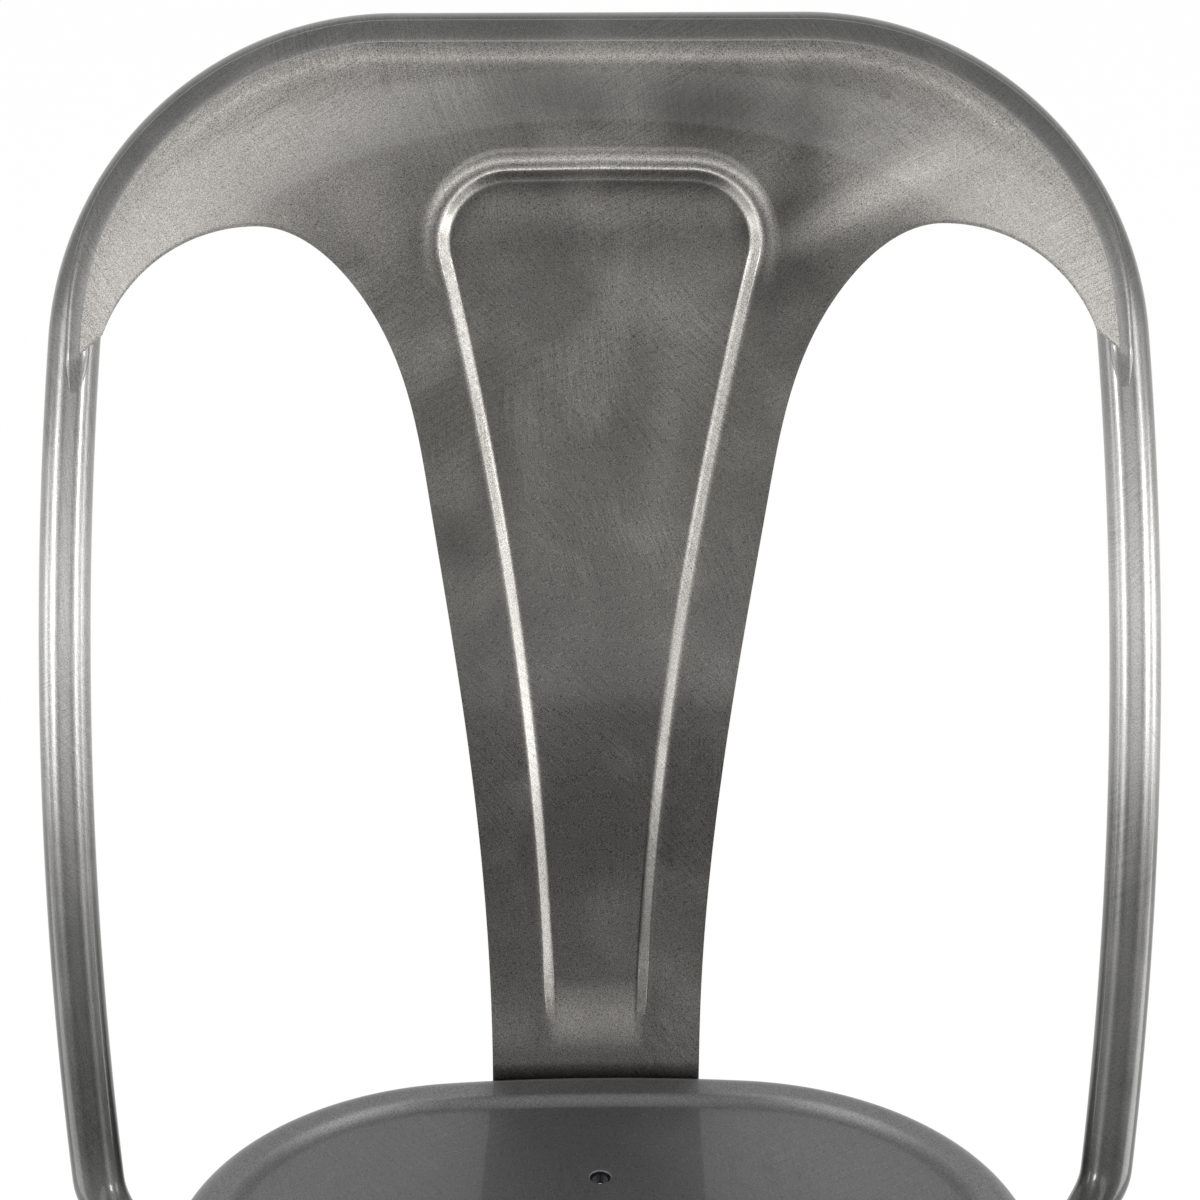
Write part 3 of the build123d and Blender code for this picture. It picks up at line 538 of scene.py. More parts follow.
def station_mesh(right_half):
    # The stations of one side and their mirror image as a line that carries how the section is squeezed and
    # the painted light on the steel: painted shade at the foot, a painted highlight brightest half way up
    line = right_half + [
        (mirrored(c), mirrored(p), mirrored(s), t, w) for c, p, s, t, w in right_half[-2::-1]]
    mesh = mesh_of("stations", [s[0] for s in line], [(k, k + 1) for k in range(len(line) - 1)], [])
    for name, column in (("centre", 0), ("press", 1), ("spread", 2)):
        mark(mesh, name, [x for station in line for x in station[column]], "FLOAT_VECTOR")
    for name, column in (("thin", 3), ("wide", 4)):
        mark(mesh, name, [station[column] for station in line])
    rises = [(s[0].y - arch_foot_y) * lean_sin + (s[0].z - seat_top) * lean_cos for s in line]
    mark(mesh, "tone_and_painted_light", np.interp(rises, *zip(*painted_light_up_tube)))
    return mesh


line_mesh = station_mesh(right_half_line())


class Shop(Finish):
    # One node tree of Geometry Nodes, built node by node, with named inputs for its sizes

    def __init__(self, name, inputs):
        super().__init__(bpy.data.node_groups.new(name, "GeometryNodeTree"))
        sockets = self.tree.interface
        sockets.new_socket("Geometry", in_out="INPUT", socket_type="NodeSocketGeometry")
        self.keys = {}
        for label, kind in inputs:
            self.keys[label] = sockets.new_socket(label, in_out="INPUT", socket_type=kind).identifier
        sockets.new_socket("Geometry", in_out="OUTPUT", socket_type="NodeSocketGeometry")
        self.start = self.tree.nodes.new("NodeGroupInput")

    def given(self, label):
        return Finish(self.tree, self.start.outputs[label])

    def finish(self, geometry, material):
        real = self.node("GeometryNodeRealizeInstances", {}, {"Geometry": geometry})
        dressed = self.node("GeometryNodeSetMaterial", {}, {"Geometry": real, "Material": material})
        self.node("NodeGroupOutput", {}, {"Geometry": dressed})

    def make(self, mesh, values):
        # The mesh that the tree gives for a starting mesh and the sizes it is told
        draft = in_scene("draft", mesh)
        modifier = draft.modifiers.new("make", "NODES")
        modifier.node_group = self.tree
        for label, value in values.items():
            modifier[self.keys[label]] = value
        return evaluated_mesh(draft)


in_arch_plane = (back_lean - math.pi / 2, 0, 0)
tube_steel = ground_steel(
    "tube_steel", (0.035, 0.0348, 0.034, 1), (0.56, 0.555, 0.54, 1), in_arch_plane,
    rough=0.34, patchy=0.5, speck=1.1, brush=0.8, tone_and_painted_light="tone_and_painted_light")
bender = Shop("tube_bender", [
    ("Tube Radius", "NodeSocketFloat"), ("Segments", "NodeSocketInt"), ("Finish", "NodeSocketMaterial")])
line = bender.node("GeometryNodeMeshToCurve", {}, {"Mesh": bender.given("Geometry")})
hoop = bender.node("GeometryNodeCurvePrimitiveCircle", {}, {
    "Resolution": bender.given("Segments"), "Radius": bender.given("Tube Radius")})
swept = bender.node("GeometryNodeCurveToMesh", {}, {"Curve": line, "Profile Curve": hoop, "Fill Caps": True})


def station_value(name, kind):
    return bender.node("GeometryNodeInputNamedAttribute", {"data_type": kind}, {"Name": name})


def squeezed(offset, direction, factor):
    # Change of a point's offset from the centre line when one direction is pressed or spread
    reach = bender.node("ShaderNodeVectorMath", {"operation": "DOT_PRODUCT"}, {
        0: offset, 1: direction}, out="Value")
    return direction.scaled(reach * (factor - 1.0))


here = bender.node("GeometryNodeInputPosition")
from_line = bender.node("ShaderNodeVectorMath", {"operation": "SUBTRACT"}, {
    0: here, 1: station_value("centre", "FLOAT_VECTOR")})
thinned = squeezed(from_line, station_value("press", "FLOAT_VECTOR"), station_value("thin", "FLOAT"))
spread_out = squeezed(from_line, station_value("spread", "FLOAT_VECTOR"), station_value("wide", "FLOAT"))
flattened = bender.node("GeometryNodeSetPosition", {}, {
    "Geometry": swept, "Offset": thinned.shifted(spread_out)})
bender.finish(flattened, bender.given("Finish"))


def turned_out(mesh):
    # Faces of a closed shape turned to point outwards
    shell = bmesh.new()
    shell.from_mesh(mesh)
    bmesh.ops.recalc_face_normals(shell, faces=shell.faces)
    shell.to_mesh(mesh)
    shell.free()


tube_mesh = bender.make(line_mesh, {"Tube Radius": tube_radius, "Segments": 56, "Finish": tube_steel})
turned_out(tube_mesh)
smooth_to(tube_mesh, 60)
finished_piece("back_tube_bent", tube_mesh, tube_steel, "lacquered_steel", "back_tube")

# Back sheet: one steel sheet, dished between the sides of the arch and welded on to the front of the tube,
# then narrowing to a splat that is bolted behind the pan. A tapered field is pressed into it.

MM = 0.001
sheet_thickness = 1.2
fit_gap = 0.3
sheet_front = tube_radius / MM + fit_gap + sheet_thickness
splat_setback = tube_foot_setback / MM + fit_gap
tab_half_width = 40.3
tab_foot, tab_top = -41.0, -5.0


def drawn_curve(points, start, end, count):
    # Smooth curve through points that leaves and arrives in given directions
    points = np.array(points, dtype=float)
    steps = np.linalg.norm(np.diff(points, axis=0), axis=1)
    size = len(points)
    left, right = np.zeros((size, size)), np.zeros_like(points)
    left[0, 0] = left[-1, -1] = 1
    right[0], right[-1] = start, end
    for k in range(1, size - 1):
        before, after = steps[k - 1], steps[k]
        left[k, k - 1:k + 2] = after, 2 * (before + after), before
        right[k] = 3 * (after * (points[k] - points[k - 1]) / before
                        + before * (points[k + 1] - points[k]) / after)
    slopes = np.linalg.solve(left, right)
    line = []
    for k in range(size - 1):
        for share in np.linspace(0, 1, count, endpoint=False):
            a, b, c, d = curve_weights(share)
            line.append(a * points[k] + b * steps[k] * slopes[k]
                        + c * points[k + 1] + d * steps[k] * slopes[k + 1])
    return np.array(line + [points[-1]])


def beside_seat(setback, rise):
    # Side view of the splat, from its place behind the seat to the plane of the arch
    y = splat_setback + setback
    return (y * lean_sin + rise * lean_cos, y * lean_cos - rise * lean_sin)


tab_low, tab_high = beside_seat(0, tab_foot), beside_seat(0, tab_top)
splat_side = drawn_curve(
    [tab_high, beside_seat(5.5, 25), beside_seat(13.5, 115), beside_seat(20, 230), beside_seat(24.5, 305),
     (arch_top / MM, -sheet_front)],
    (lean_cos, -lean_sin), (1, 0), 80)
splat_side = np.vstack([[tab_low], splat_side])
dish_lowest = 305.0
dish_at_lowest = sheet_front + float(np.interp(dish_lowest, splat_side[:, 0], splat_side[:, 1]))
dish_at_foot = (float(tube_across(dish_lowest * MM)) / MM) ** 2 / (3 * seat_end_radius / MM)


def sheet_behind(across, rise):
    # How far the front of the sheet lies behind the plane of the arch
    middle = np.interp(rise, splat_side[:, 0], splat_side[:, 1])
    share = np.clip(rise - tab_high[0], 0, None) / (dish_lowest - tab_high[0])
    low = dish_at_foot + (dish_at_lowest - dish_at_foot) * share
    depth = np.where(rise >= dish_lowest, middle + sheet_front, low)
    half = tube_across(rise * MM) / MM
    inside = np.clip(1 - (across / half) ** 2, 0, None)
    return middle - depth * (1 - inside ** 1.5)


def evenly(points, spacing):
    # The same line with its points a fixed distance apart
    points = np.asarray(points, dtype=float)
    run = np.concatenate([[0], np.cumsum(np.linalg.norm(np.diff(points, axis=0), axis=1))])
    at_run = np.linspace(0, run[-1], max(int(round(run[-1] / spacing)), 1) + 1)
    return np.column_stack([np.interp(at_run, run, points[:, k]) for k in range(2)])


def arc(centre, radius, first, last, count=90):
    turns = np.linspace(first, last, count)
    return np.column_stack([centre[0] + radius * np.cos(turns), centre[1] + radius * np.sin(turns)])


horn_rise = 327.0
horn_edge_rise = 337.0
crown = (124.6, 376.0)
window_radius = 59.5
splat_edge = drawn_curve(
    [(tab_half_width, tab_high[0]), (49.4, 180), (62.9, 274), (85.6, 348.5), crown], (0, 1), (1, 0), 60)
window_centre = (crown[0], crown[1] - window_radius)
window_end = math.asin((horn_edge_rise - window_centre[1]) / window_radius)
window_arc = arc(window_centre, window_radius, math.pi / 2, window_end)
horn_tip = (float(tube_across(horn_rise * MM)) / MM, horn_rise)
horn_angle = math.asin((horn_rise * MM - arch_widest) / arch_side_radius)
side_run = arc((bow_centre / MM, arch_widest / MM), arch_side_radius / MM, horn_angle, corner_swing)
corner_run = arc((corner_across / MM, corner_rise / MM), arch_corner_radius / MM, corner_swing, math.pi / 2)
edge_step = 1.8
right_runs = [
    [(0, tab_low[0]), (tab_half_width, tab_low[0])],
    [(tab_half_width, tab_low[0]), (tab_half_width, tab_high[0])],
    splat_edge, window_arc, [window_arc[-1], horn_tip], side_run, corner_run,
    [(corner_across / MM, arch_top / MM), (0, arch_top / MM)],
]
right_outline = np.vstack([evenly(run, edge_step)[:-1] for run in right_runs])
left_outline = np.vstack([[[0, arch_top / MM]], right_outline[:0:-1]]) * (-1, 1)
sheet_outline = np.vstack([right_outline, left_outline])

field_top, field_foot = 396.0, 52.0
field_wide, field_narrow = 65.6, 19.0
field_bow = 10.08
field_corner = 26.0
field_fade = 30.0
field_depth = 2.5
field_crown = 0.5
lip_height = 0.7


def field_path():
    # Edge of the pressed field: up the right side, round the top and down the left side
    share = np.linspace(-0.12, 1, 400)
    chord = np.array([field_wide - field_narrow, field_top - field_foot])
    inward = np.array([-chord[1], chord[0]]) / np.linalg.norm(chord)
    bow = 4 * field_bow * share * (1 - share)
    side = np.array([field_narrow, field_foot]) + np.outer(share, chord) + np.outer(bow, inward)
    run = np.gradient(side, axis=0)
    out = np.column_stack([run[:, 1], -run[:, 0]]) / np.linalg.norm(run, axis=1)[:, None]
    inner = side - field_corner * out
    stop = int(np.argmin(np.abs(inner[:, 1] - (field_top - field_corner))))
    centre = inner[stop]
    lean = math.atan2(out[stop][1], out[stop][0])
    bend = arc(centre, field_corner, lean, math.pi / 2, 40)
    right = np.vstack([side[:stop], bend, [[0, field_top]]])
    left = right[-2::-1] * (-1, 1)
    return np.vstack([right, left])


field_line = evenly(field_path(), 0.6)
field_run = np.gradient(field_line, axis=0)
field_out = np.column_stack([field_run[:, 1], -field_run[:, 0]]) / np.linalg.norm(field_run, axis=1)[:, None]


def nearest_on(line):
    # Search for the point of a line that lies nearest to a place
    tree = KDTree(len(line))
    for k, (x, y) in enumerate(line):
        tree.insert((x, y, 0), k)
    tree.balance()
    return tree


field_tree = nearest_on(field_line)
outline_tree = nearest_on(sheet_outline)


def inside_field(x, y):
    # Distance in from the field's edge, below zero outside it
    _, k, _ = field_tree.find((x, y, 0))
    away = np.array([x, y]) - field_line[k]
    side = -float(away @ field_out[k])
    return math.copysign(float(np.linalg.norm(away)), side)


def inside_outline(points):
    x, y = points[:, 0], points[:, 1]
    odd = np.zeros(len(points), dtype=bool)
    ends = np.roll(sheet_outline, -1, axis=0)
    for (x0, y0), (x1, y1) in zip(sheet_outline, ends):
        if y0 != y1:
            odd ^= ((y0 > y) != (y1 > y)) & (x < (x1 - x0) * (y - y0) / (y1 - y0) + x0)
    return odd


def from_outline(x, y):
    return outline_tree.find((x, y, 0))[2]


def clear_of_edge(points, clearance):
    points = points[inside_outline(points)]
    return np.array([p for p in points if from_outline(*p) > clearance])


def sheet_points():
    # Points of the sheet: its edge, a line just inside it, lines along the field's edge, and an even fill
    run = np.roll(sheet_outline, -1, axis=0) - np.roll(sheet_outline, 1, axis=0)
    inward = np.column_stack([-run[:, 1], run[:, 0]]) / np.linalg.norm(run, axis=1)[:, None]
    near_edge = [sheet_outline + inward * reach for reach in (0.6, 1.6)]
    along_field = [
        field_line[::3] - field_out[::3] * reach
        for reach in (-10.5, -9, -7.5, -6, -4.5, -3.2, -2, -1.2, -0.7, -0.3, 0.1, 0.6, 1.2, 2, 2.8, 3.4, 3.9,
                      4.4, 5, 6, 7.5)
    ]
    spacing, clearance, half_width = 2.8, 2.6, 197
    rows = np.arange(tab_low[0], arch_top / MM, spacing * math.sqrt(0.75))
    grid = [
        (x + (spacing / 2 if k % 2 else 0), y)
        for k, y in enumerate(rows) for x in np.arange(-half_width, half_width, spacing)
    ]
    fill = clear_of_edge(np.array(grid), clearance)
    fill = np.array([p for p in fill if not -12 < inside_field(*p) < 9])
    lines = clear_of_edge(np.vstack(along_field), clearance)
    edges = clear_of_edge(np.vstack(near_edge), 0.5)
    return np.vstack([sheet_outline, edges, lines, fill])


def pressed_relief(points):
    # Push of the field's tool: a low swelling lip, a crisp edge, a sloping wall and a sunk field with a
    # rounded foot, all running out towards the seat
    inward = np.array([inside_field(x, y) for x, y in points])
    reach = np.linspace(-13, 9, 1101)
    lip_slope = np.sin(np.pi * np.clip((reach + 8.0) / 5.0, 0, 1)) ** 2
    wall_slope = ease((reach + 0.8) / 0.8) * (1 - ease((reach - 2.4) / 2.6))
    step = reach[1] - reach[0]
    depth = np.cumsum(wall_slope) / (wall_slope.sum() * step) * (field_depth + lip_height) * step
    depth -= np.cumsum(lip_slope) / (lip_slope.sum() * step) * lip_height * step
    depth = np.interp(inward, reach, depth) - field_crown * ease((inward - 6) / 22)
    return depth * ease((points[:, 1] - field_foot) / field_fade)


flat = sheet_points()
edge_count = len(sheet_outline)
corners = [Vector((float(x), float(y))) for x, y in flat]
ring = list(range(edge_count))
flat_out, _, triangles, originals, _, _ = delaunay_2d_cdt(corners, [], [ring], 1, 0.0001, True)
flat = np.array([(p.x, p.y) for p in flat_out])
middles = np.array([flat[list(face)].mean(axis=0) for face in triangles])
triangles = [face for face, kept in zip(triangles, inside_outline(middles)) if kept]
on_edge = np.array([any(k < edge_count for k in source) for source in originals])
behind = sheet_behind(flat[:, 0], flat[:, 1]) + pressed_relief(flat)
front = [on_arch(x * MM, y * MM, w * MM) for (x, y), w in zip(flat, behind + 0.15 * on_edge)]
rear = [on_arch(x * MM, y * MM, (w + sheet_thickness) * MM) for (x, y), w in zip(flat, behind)]
shift = len(front)
uses = dict.fromkeys(pair for a, b, c in triangles for pair in ((a, b), (b, c), (c, a)))
sheet_faces = [tuple(face) for face in triangles]
sheet_faces += [(c + shift, b + shift, a + shift) for a, b, c in triangles]
sheet_faces += [(b, a, a + shift, b + shift) for a, b in uses if (b, a) not in uses]
sheet_mesh = mesh_of("back_sheet_pressed", front + rear, [], sheet_faces)
turned_out(sheet_mesh)
smooth_to(sheet_mesh, 50)
# Painted light and grinder tone: painted sheen towards the horns and the foot, single patches of grinder tone
# and painted sheen placed by across, rise, half width, half height, swing and change of tone, then painted
# highlights along the edge, the pressed wall and the lip, whose wall foot is painted darker as shade on the
# right, with painted shade below the top wall
sheet_x, sheet_y = flat[:, 0], flat[:, 1]
dressed = 0.56 * ease((np.abs(sheet_x) - 60) / 130)
dressed += np.interp(sheet_y, (40, 150, 230, 300, 360, 443), (0.26, 0.25, 0.02, -0.04, 0.02, 0.02))
for across, rise, wide, tall, swing, change in (
    (0, 438, 150, 5, 0, 0.24), (18, 418, 84, 15, -4, -0.23), (66, 362, 13, 38, -14, -0.22),
    (92, 382, 38, 7, 28, 0.48), (112, 374, 12, 9, 0, -0.12), (-100, 414, 58, 15, 12, 0.14),
    (-74, 362, 14, 26, 20, 0.05), (0, 381, 44, 6, 0, 0.14), (22, 348, 20, 9, -35, 0.13),
    (-27, 300, 7, 50, 6, 0.09), (24, 290, 7, 55, -6, 0.10), (-52, 250, 7, 60, 8, -0.05),
):
    turn = math.radians(swing)
    aside, above = sheet_x - across, sheet_y - rise
    along = (aside * math.cos(turn) + above * math.sin(turn)) / wide
    over = (above * math.cos(turn) - aside * math.sin(turn)) / tall
    dressed += change * np.exp(-along ** 2 - over ** 2)
from_field = np.array([inside_field(x, y) for x, y in flat])
from_edge = np.array([from_outline(x, y) for x, y in flat])
in_field = ease((sheet_y - field_foot) / field_fade)
near_top = ease((sheet_y - 350) / 35)
# Painted highlights along the top edge, the field's edge, the wall's foot, the wall and the lip; painted
# shade on the right wall foot and below the top wall
dressed += 0.32 * ease((sheet_y - 395) / 25) * ridge(from_edge, 6.5, 1.6)
dressed += in_field * (0.40 + 1.1 * near_top) * ridge(from_field, -0.5, 0.6)
dressed += in_field * 0.45 * ease((sheet_y - 200) / 100) * ridge(from_field, 2.9, 0.6)
painted_wall_highlight = 0.26 + 0.26 * ease((sheet_y - 200) / 120)
dressed += in_field * painted_wall_highlight * ease((from_field + 0.5) / 1.0) * ease((4.0 - from_field) / 1.0)
on_wall = ease((from_field + 1.2) / 0.8) * ease((4.6 - from_field) / 0.8)
painted_wall_shade = np.where(sheet_x > 0, 0.46 * ease((172 - sheet_y) / 65), 0.20 * ease((95 - sheet_y) / 25))
dressed -= in_field * painted_wall_shade * on_wall
dressed += near_top * 0.55 * ridge(from_field, -4.4, 1.7)
dressed -= near_top * 0.16 * ease((from_field - 2) / 2) * ease((11 - from_field) / 7)
mark(sheet_mesh, "tone_and_painted_light", np.concatenate([dressed, dressed]))
sheet_steel = ground_steel(
    "sheet_steel", (0.098, 0.095, 0.087, 1), (0.475, 0.46, 0.432, 1), in_arch_plane,
    rough=0.30, patchy=1.0, speck=2.0, brush=1.05, tone_and_painted_light="tone_and_painted_light")
finished_piece("back_sheet_pressed", sheet_mesh, sheet_steel, "lacquered_steel", "back_sheet")

# Sheet edge weld: the bead that joins the sheet's edge to the front of the tube. It is ground to a low
# smooth run that leaves the crest of the tube at the horns and dies out on the tube below them.

bead_radius = 0.004
bead_height, bead_width, bead_sink = 0.0017, 0.0052, 0.0004
weld_tail_rise = 0.313
forward = on_arch(0, 0, -1) - on_arch(0, 0, 0)


def bead_station(across, rise, out):
    # Section of the bead beside a point of the tube's centre line; out points away from the arch's middle
    outward = on_arch(*out, 0) - on_arch(0, 0, 0)
    fade = float(ease((rise - weld_tail_rise) / (horn_rise * MM + 0.004 - weld_tail_rise)))
    inward = float(1 - ease((rise - 0.330) / 0.060))
    roll = math.radians(11 - 24 * inward)
    press = forward * math.cos(roll) + outward * math.sin(roll)
    spread = outward * math.cos(roll) - forward * math.sin(roll)
    centre = on_arch(across, rise, 0) + press * (tube_radius - bead_sink)
    tall = (bead_height + 0.0003 * inward) * fade + 0.0002
    broad = (bead_width - 0.0008 * inward) * (0.4 + 0.6 * fade)
    return (centre, press, spread, tall / bead_radius, broad / bead_radius)


weld_line = []
tail_swing = math.asin((weld_tail_rise - arch_widest) / arch_side_radius)
for angle in np.linspace(tail_swing, corner_swing, 60)[:-1]:
    weld_line.append(bead_station(*side_spot(angle), (math.cos(angle), math.sin(angle))))
for angle in np.linspace(corner_swing, math.pi / 2, 90):
    weld_line.append(bead_station(*corner_spot(angle), (math.cos(angle), math.sin(angle))))
for across in np.linspace(corner_across, 0, 30)[1:]:
    weld_line.append(bead_station(across, arch_top, (0, 1)))
# The bead takes the tube's painted light at its heights
weld_mesh = bender.make(station_mesh(weld_line), {
    "Tube Radius": bead_radius, "Segments": 28, "Finish": tube_steel})
turned_out(weld_mesh)
smooth_to(weld_mesh, 70)
finished_piece("sheet_edge_weld_ground", weld_mesh, tube_steel, "lacquered_steel", "sheet_edge_weld")

# Fasteners: zinc-plated round-head rivets in the legs and brace, and hexagon bolts with washers and nuts at
# the tube's ends, at the splat's foot and where the brace crosses. Each kind is one shape set at its places.

zinc, at, zinc_place = new_finish("bright_zinc")
spangle = at.noise(zinc_place, 700.0, 3.0)
zinc_colour = at.between(spangle, (0.30, 0.30, 0.30, 1), (0.56, 0.56, 0.54, 1))
zinc_relief = at.node("ShaderNodeBump", {}, {"Strength": 0.25, "Distance": 0.0001, "Height": spangle})
zinc_plate = at.node("ShaderNodeBsdfPrincipled", {}, {
    "Base Color": zinc_colour, "Metallic": 1.0, "Roughness": 0.22 + 0.2 * spangle, "Normal": zinc_relief})
at.node("ShaderNodeOutputMaterial", {}, {"Surface": zinc_plate})
bolt_half_flats = 5.0
bolt_corner = bolt_half_flats / math.cos(math.pi / 6)
chamfer_circle = 4.75
chamfer = math.tan(math.pi / 6)
chamfer_drop = (bolt_corner - chamfer_circle) * chamfer


def lathed(name, rings, hexagon=False, ring_shaped=False):
    # A shape turned about Z from rings of radius and height in millimetres. On a hexagon a ring is cut back
    # to the flats, and the slope that a ring may have raises or lowers it there as the chamfer does.
    count = 48
    points, faces = [], []
    for radius, height, *slope in rings:
        for turn in np.linspace(0, 2 * math.pi, count, endpoint=False):
            reach = radius
            if hexagon:
                flat = bolt_half_flats / math.cos((turn + math.pi / 6) % (math.pi / 3) - math.pi / 6)
                reach = min(radius, flat)
            rise = height + sum(slope) * (radius - reach)
            points.append((reach * math.cos(turn) * MM, reach * math.sin(turn) * MM, rise * MM))
    for k in range(len(rings) if ring_shaped else len(rings) - 1):
        low, high = k * count, (k + 1) % len(rings) * count
        for step in range(count):
            after = (step + 1) % count
            faces.append((low + step, high + step, high + after, low + after))
    mesh = mesh_of(name, points, [], faces)
    join_points(mesh, 0.000005)
    turned_out(mesh)
    return in_scene(name, mesh)


def round_rivet(length):
    head, rise, shank = 5.0, 2.8, 2.5
    ball = (head ** 2 + rise ** 2) / (2 * rise)
    dome = [(ball * math.sin(turn), ball * math.cos(turn) - ball)
            for turn in np.linspace(0, math.asin(head / ball), 12)]
    return lathed("round_rivet", dome + [
        (4.8, -rise), (shank, -rise), (shank, 2 - length), (3.8, 2 - length),
        (4.0, 1.8 - length), (3.9, 0.8 - length), (3.2, 0.2 - length), (2.2, -length), (0, -length)])


def hexagon_bolt(length):
    thread = [(2.62 + 0.36 * (k % 2), -length + 0.6 + 0.5 * k) for k in range(18, -1, -1)]
    return lathed("hexagon_bolt", [
        (0, -0.15), (3.4, -0.15), (3.7, 0), (chamfer_circle, 0), (bolt_corner, -chamfer_drop, chamfer),
        (bolt_corner, -3.8), (4.8, -4.0), (2.98, -4.0)] + thread + [
        (2.3, -length), (0, -length)], hexagon=True)


def hexagon_nut(length):
    return lathed("hexagon_nut", [
        (3.2, 0), (chamfer_circle, 0), (bolt_corner, -chamfer_drop, chamfer),
        (bolt_corner, chamfer_drop - length, -chamfer), (chamfer_circle, -length), (3.2, -length),
        (3.05, -length + 0.3), (3.05, -0.3)], hexagon=True, ring_shaped=True)


def flat_washer(length):
    return lathed("flat_washer", [
        (3.3, 0), (5.8, 0), (6.0, -0.25), (6.0, 0.25 - length), (5.8, -length), (3.3, -length)],
        ring_shaped=True)


def fastener_places(node, largest_flat_is_rear):
    # For each fastener of a node: the middle of its outer end, the way it points, and its length
    shell = bmesh.new()
    shell.from_mesh(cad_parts[node].data)
    bmesh.ops.remove_doubles(shell, verts=shell.verts, dist=join_reach)
    waiting = dict.fromkeys(shell.faces)
    places = []
    while waiting:
        heap, island = [waiting.popitem()[0]], []
        while heap:
            face = heap.pop()
            island.append(face)
            for other in (near for edge in face.edges for near in edge.link_faces):
                if other in waiting:
                    del waiting[other]
                    heap.append(other)
        flats = {}
        for face in island:
            key = tuple(round(x, 2) for x in face.normal)
            flats[key] = flats.get(key, Vector((0, 0, 0))) + face.normal * face.calc_area()
        aim = max(flats.values(), key=lambda total: total.length).normalized()
        aim = -aim if largest_flat_is_rear else aim
        side = aim.orthogonal().normalized()
        spots = [corner.co for face in island for corner in face.verts]
        reaches = [[spot.dot(way) for spot in spots] for way in (aim, side, aim.cross(side))]
        spans = [(min(reach), max(reach)) for reach in reaches]
        middle = aim * spans[0][1] + side * (sum(spans[1]) / 2) + aim.cross(side) * (sum(spans[2]) / 2)
        places.append((middle, aim, (spans[0][1] - spans[0][0]) / MM))
    shell.free()
    return places


setter = Shop("fastener_setter", [("Fastener", "NodeSocketObject"), ("Finish", "NodeSocketMaterial")])
shape = setter.node("GeometryNodeObjectInfo", {"transform_space": "ORIGINAL"}, {
    "Object": setter.given("Fastener"), "As Instance": True}, out="Geometry")
aim = setter.node("GeometryNodeInputNamedAttribute", {"data_type": "FLOAT_VECTOR"}, {"Name": "aim"})
turn = setter.node("FunctionNodeAlignRotationToVector", {"axis": "Z"}, {"Vector": aim})
placed = setter.node("GeometryNodeInstanceOnPoints", {}, {
    "Points": setter.given("Geometry"), "Instance": shape, "Rotation": turn})
setter.finish(placed, setter.given("Finish"))
shapes = {"rivet": round_rivet, "bolt": hexagon_bolt, "washer": flat_washer, "nut": hexagon_nut}
for node in (
    "leg_rivets", "brace_rivets", "brace_bolt", "brace_washer", "brace_nut", "tube_bolts", "tube_washers",
    "tube_nuts", "splat_bolts", "splat_washers", "splat_nuts",
):
    kind = node.split("_")[1].rstrip("s")
    places = fastener_places(node, kind == "rivet")
    spots = mesh_of(node + "_places", [middle for middle, _, _ in places], [], [])
    mark(spots, "aim", [x for _, way, _ in places for x in way], "FLOAT_VECTOR")
    pattern = shapes[kind](places[0][2])
    fastener_mesh = setter.make(spots, {"Fastener": pattern, "Finish": zinc})
    bpy.data.objects.remove(pattern)
    smooth_to(fastener_mesh, 32)
    finished_piece(node + "_set", fastener_mesh, zinc, "zinc_fasteners", node)

# Studio: a pale floor that turns up into a backdrop and keeps the chair's shadow. Soft boxes stand beside the
# camera and, low down and at the height of the back, beside the chair; one broad and weak is behind the
# camera, and one overhead is for the floor. The camera is the photograph's.

floor_paint, at, floor_place = new_finish("floor_paint")
ray = {
    name: at.node("ShaderNodeLightPath", out=name)
    for name in ("Is Camera Ray", "Is Glossy Ray", "Is Transmission Ray")
}
seen = at.node("ShaderNodeMath", {"operation": "ADD", "use_clamp": True}, {
    0: ray["Is Camera Ray"] + ray["Is Glossy Ray"], 1: ray["Is Transmission Ray"]})
away = at.node("ShaderNodeVectorMath", {"operation": "LENGTH"}, {0: floor_place}, out="Value")
far = at.node("ShaderNodeMapRange", {"interpolation_type": "SMOOTHSTEP"}, {
    "Value": away, "From Min": 0.5, "From Max": 1.1})
paint = at.node("ShaderNodeBsdfDiffuse", {}, {"Color": (0.86, 0.86, 0.86, 1)})
glow = at.node("ShaderNodeEmission", {}, {"Color": (1, 1, 1, 1), "Strength": 1.0})
floor_mix = at.node("ShaderNodeMixShader", {}, {0: seen * (0.6 + 0.37 * far), 1: paint, 2: glow})
at.node("ShaderNodeOutputMaterial", {}, {"Surface": floor_mix})

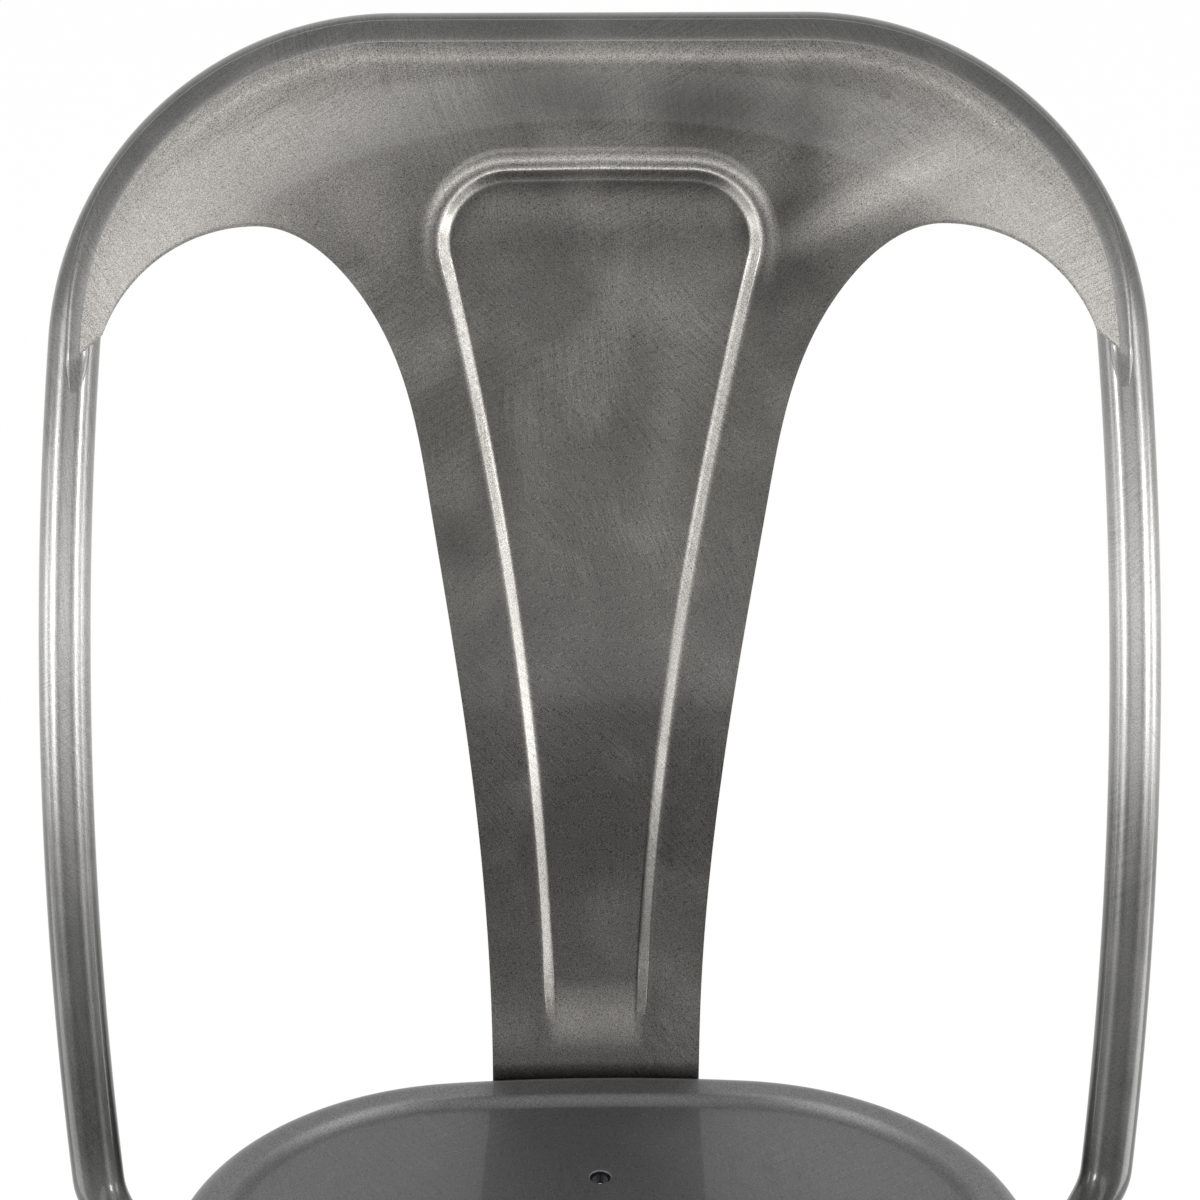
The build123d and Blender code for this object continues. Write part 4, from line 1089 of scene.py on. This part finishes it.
floor_reach, bend_start, bend_radius, backdrop_top = 6.0, 3.4, 1.2, 5.0
floor_profile = [(-floor_reach, 0.0), (bend_start, 0.0)]
floor_profile += [
    (bend_start + bend_radius * math.sin(t), bend_radius - bend_radius * math.cos(t))
    for t in np.linspace(0, math.pi / 2, 17)[1:]
]
floor_profile += [(bend_start + bend_radius, backdrop_top)]
floor_mesh = mesh_of(
    "studio_floor", [(x, y, z) for y, z in floor_profile for x in (-floor_reach, floor_reach)], [],
    [(2 * k, 2 * k + 1, 2 * k + 3, 2 * k + 2) for k in range(len(floor_profile) - 1)])
floor_mesh.materials.append(floor_paint)
floor = in_scene("studio_floor", floor_mesh)

world = bpy.data.worlds.new("studio")
world.use_nodes = True
world.node_tree.nodes["Background"].inputs["Color"].default_value = (1, 1, 1, 1)
world.node_tree.nodes["Background"].inputs["Strength"].default_value = 0.6
bpy.context.scene.world = world


def soft_box(name, place, aim, width, height, power):
    lamp = bpy.data.lights.new(name, "AREA")
    lamp.shape = "RECTANGLE"
    lamp.size, lamp.size_y = width, height
    lamp.energy = power
    box = in_scene(name, lamp)
    box.location = place
    box.rotation_euler = (Vector(aim) - Vector(place)).to_track_quat("-Z", "Y").to_euler()
    box.visible_camera = False
    return box


back_middle = (0, 0.12, 0.66)
beside = 1.25
for name, side in (("left", -1), ("right", 1)):
    soft_box(name + "_soft_box", (side * 1.74, -1.11, 1.075), back_middle, 0.40, 0.25, 9.4)
    soft_box(name + "_low_soft_box", (side * beside, -0.08, 0.18), (0, 0.15, 0.60), 0.80, 0.32,
             3.0 + 0.8 * side)
    soft_box(name + "_side_soft_box", (side * beside, 0.02, 0.62), (0, 0.15, 0.62), 0.30, 0.26,
             1.2 + 0.2 * side)
soft_box("front_soft_box", (0, -2.5, 1.52), back_middle, 2.4, 0.45, 7.5)
overhead = soft_box("overhead_soft_box", (0, 0.1, 3.0), (0, 0.1, 0.0), 2.0, 2.0, 56)
overhead.visible_glossy = False

view = bpy.data.cameras.new("photo_camera")
view.sensor_width = 36.0
view.lens = 147.4
camera = in_scene("photo_camera", view)
camera_roll = math.radians(0.45)
camera.location = (-0.05, arch_foot_y - 1.4960, 1.50986)
camera_target = Vector((-0.0005, arch_foot_y + 0.0933, 0.66482))
level = (camera_target - camera.location).to_track_quat("-Z", "Y")
camera.rotation_euler = (level @ Quaternion((0, 0, 1), camera_roll)).to_euler()
bpy.context.scene.camera = camera
bpy.context.scene.view_settings.view_transform = "Standard"
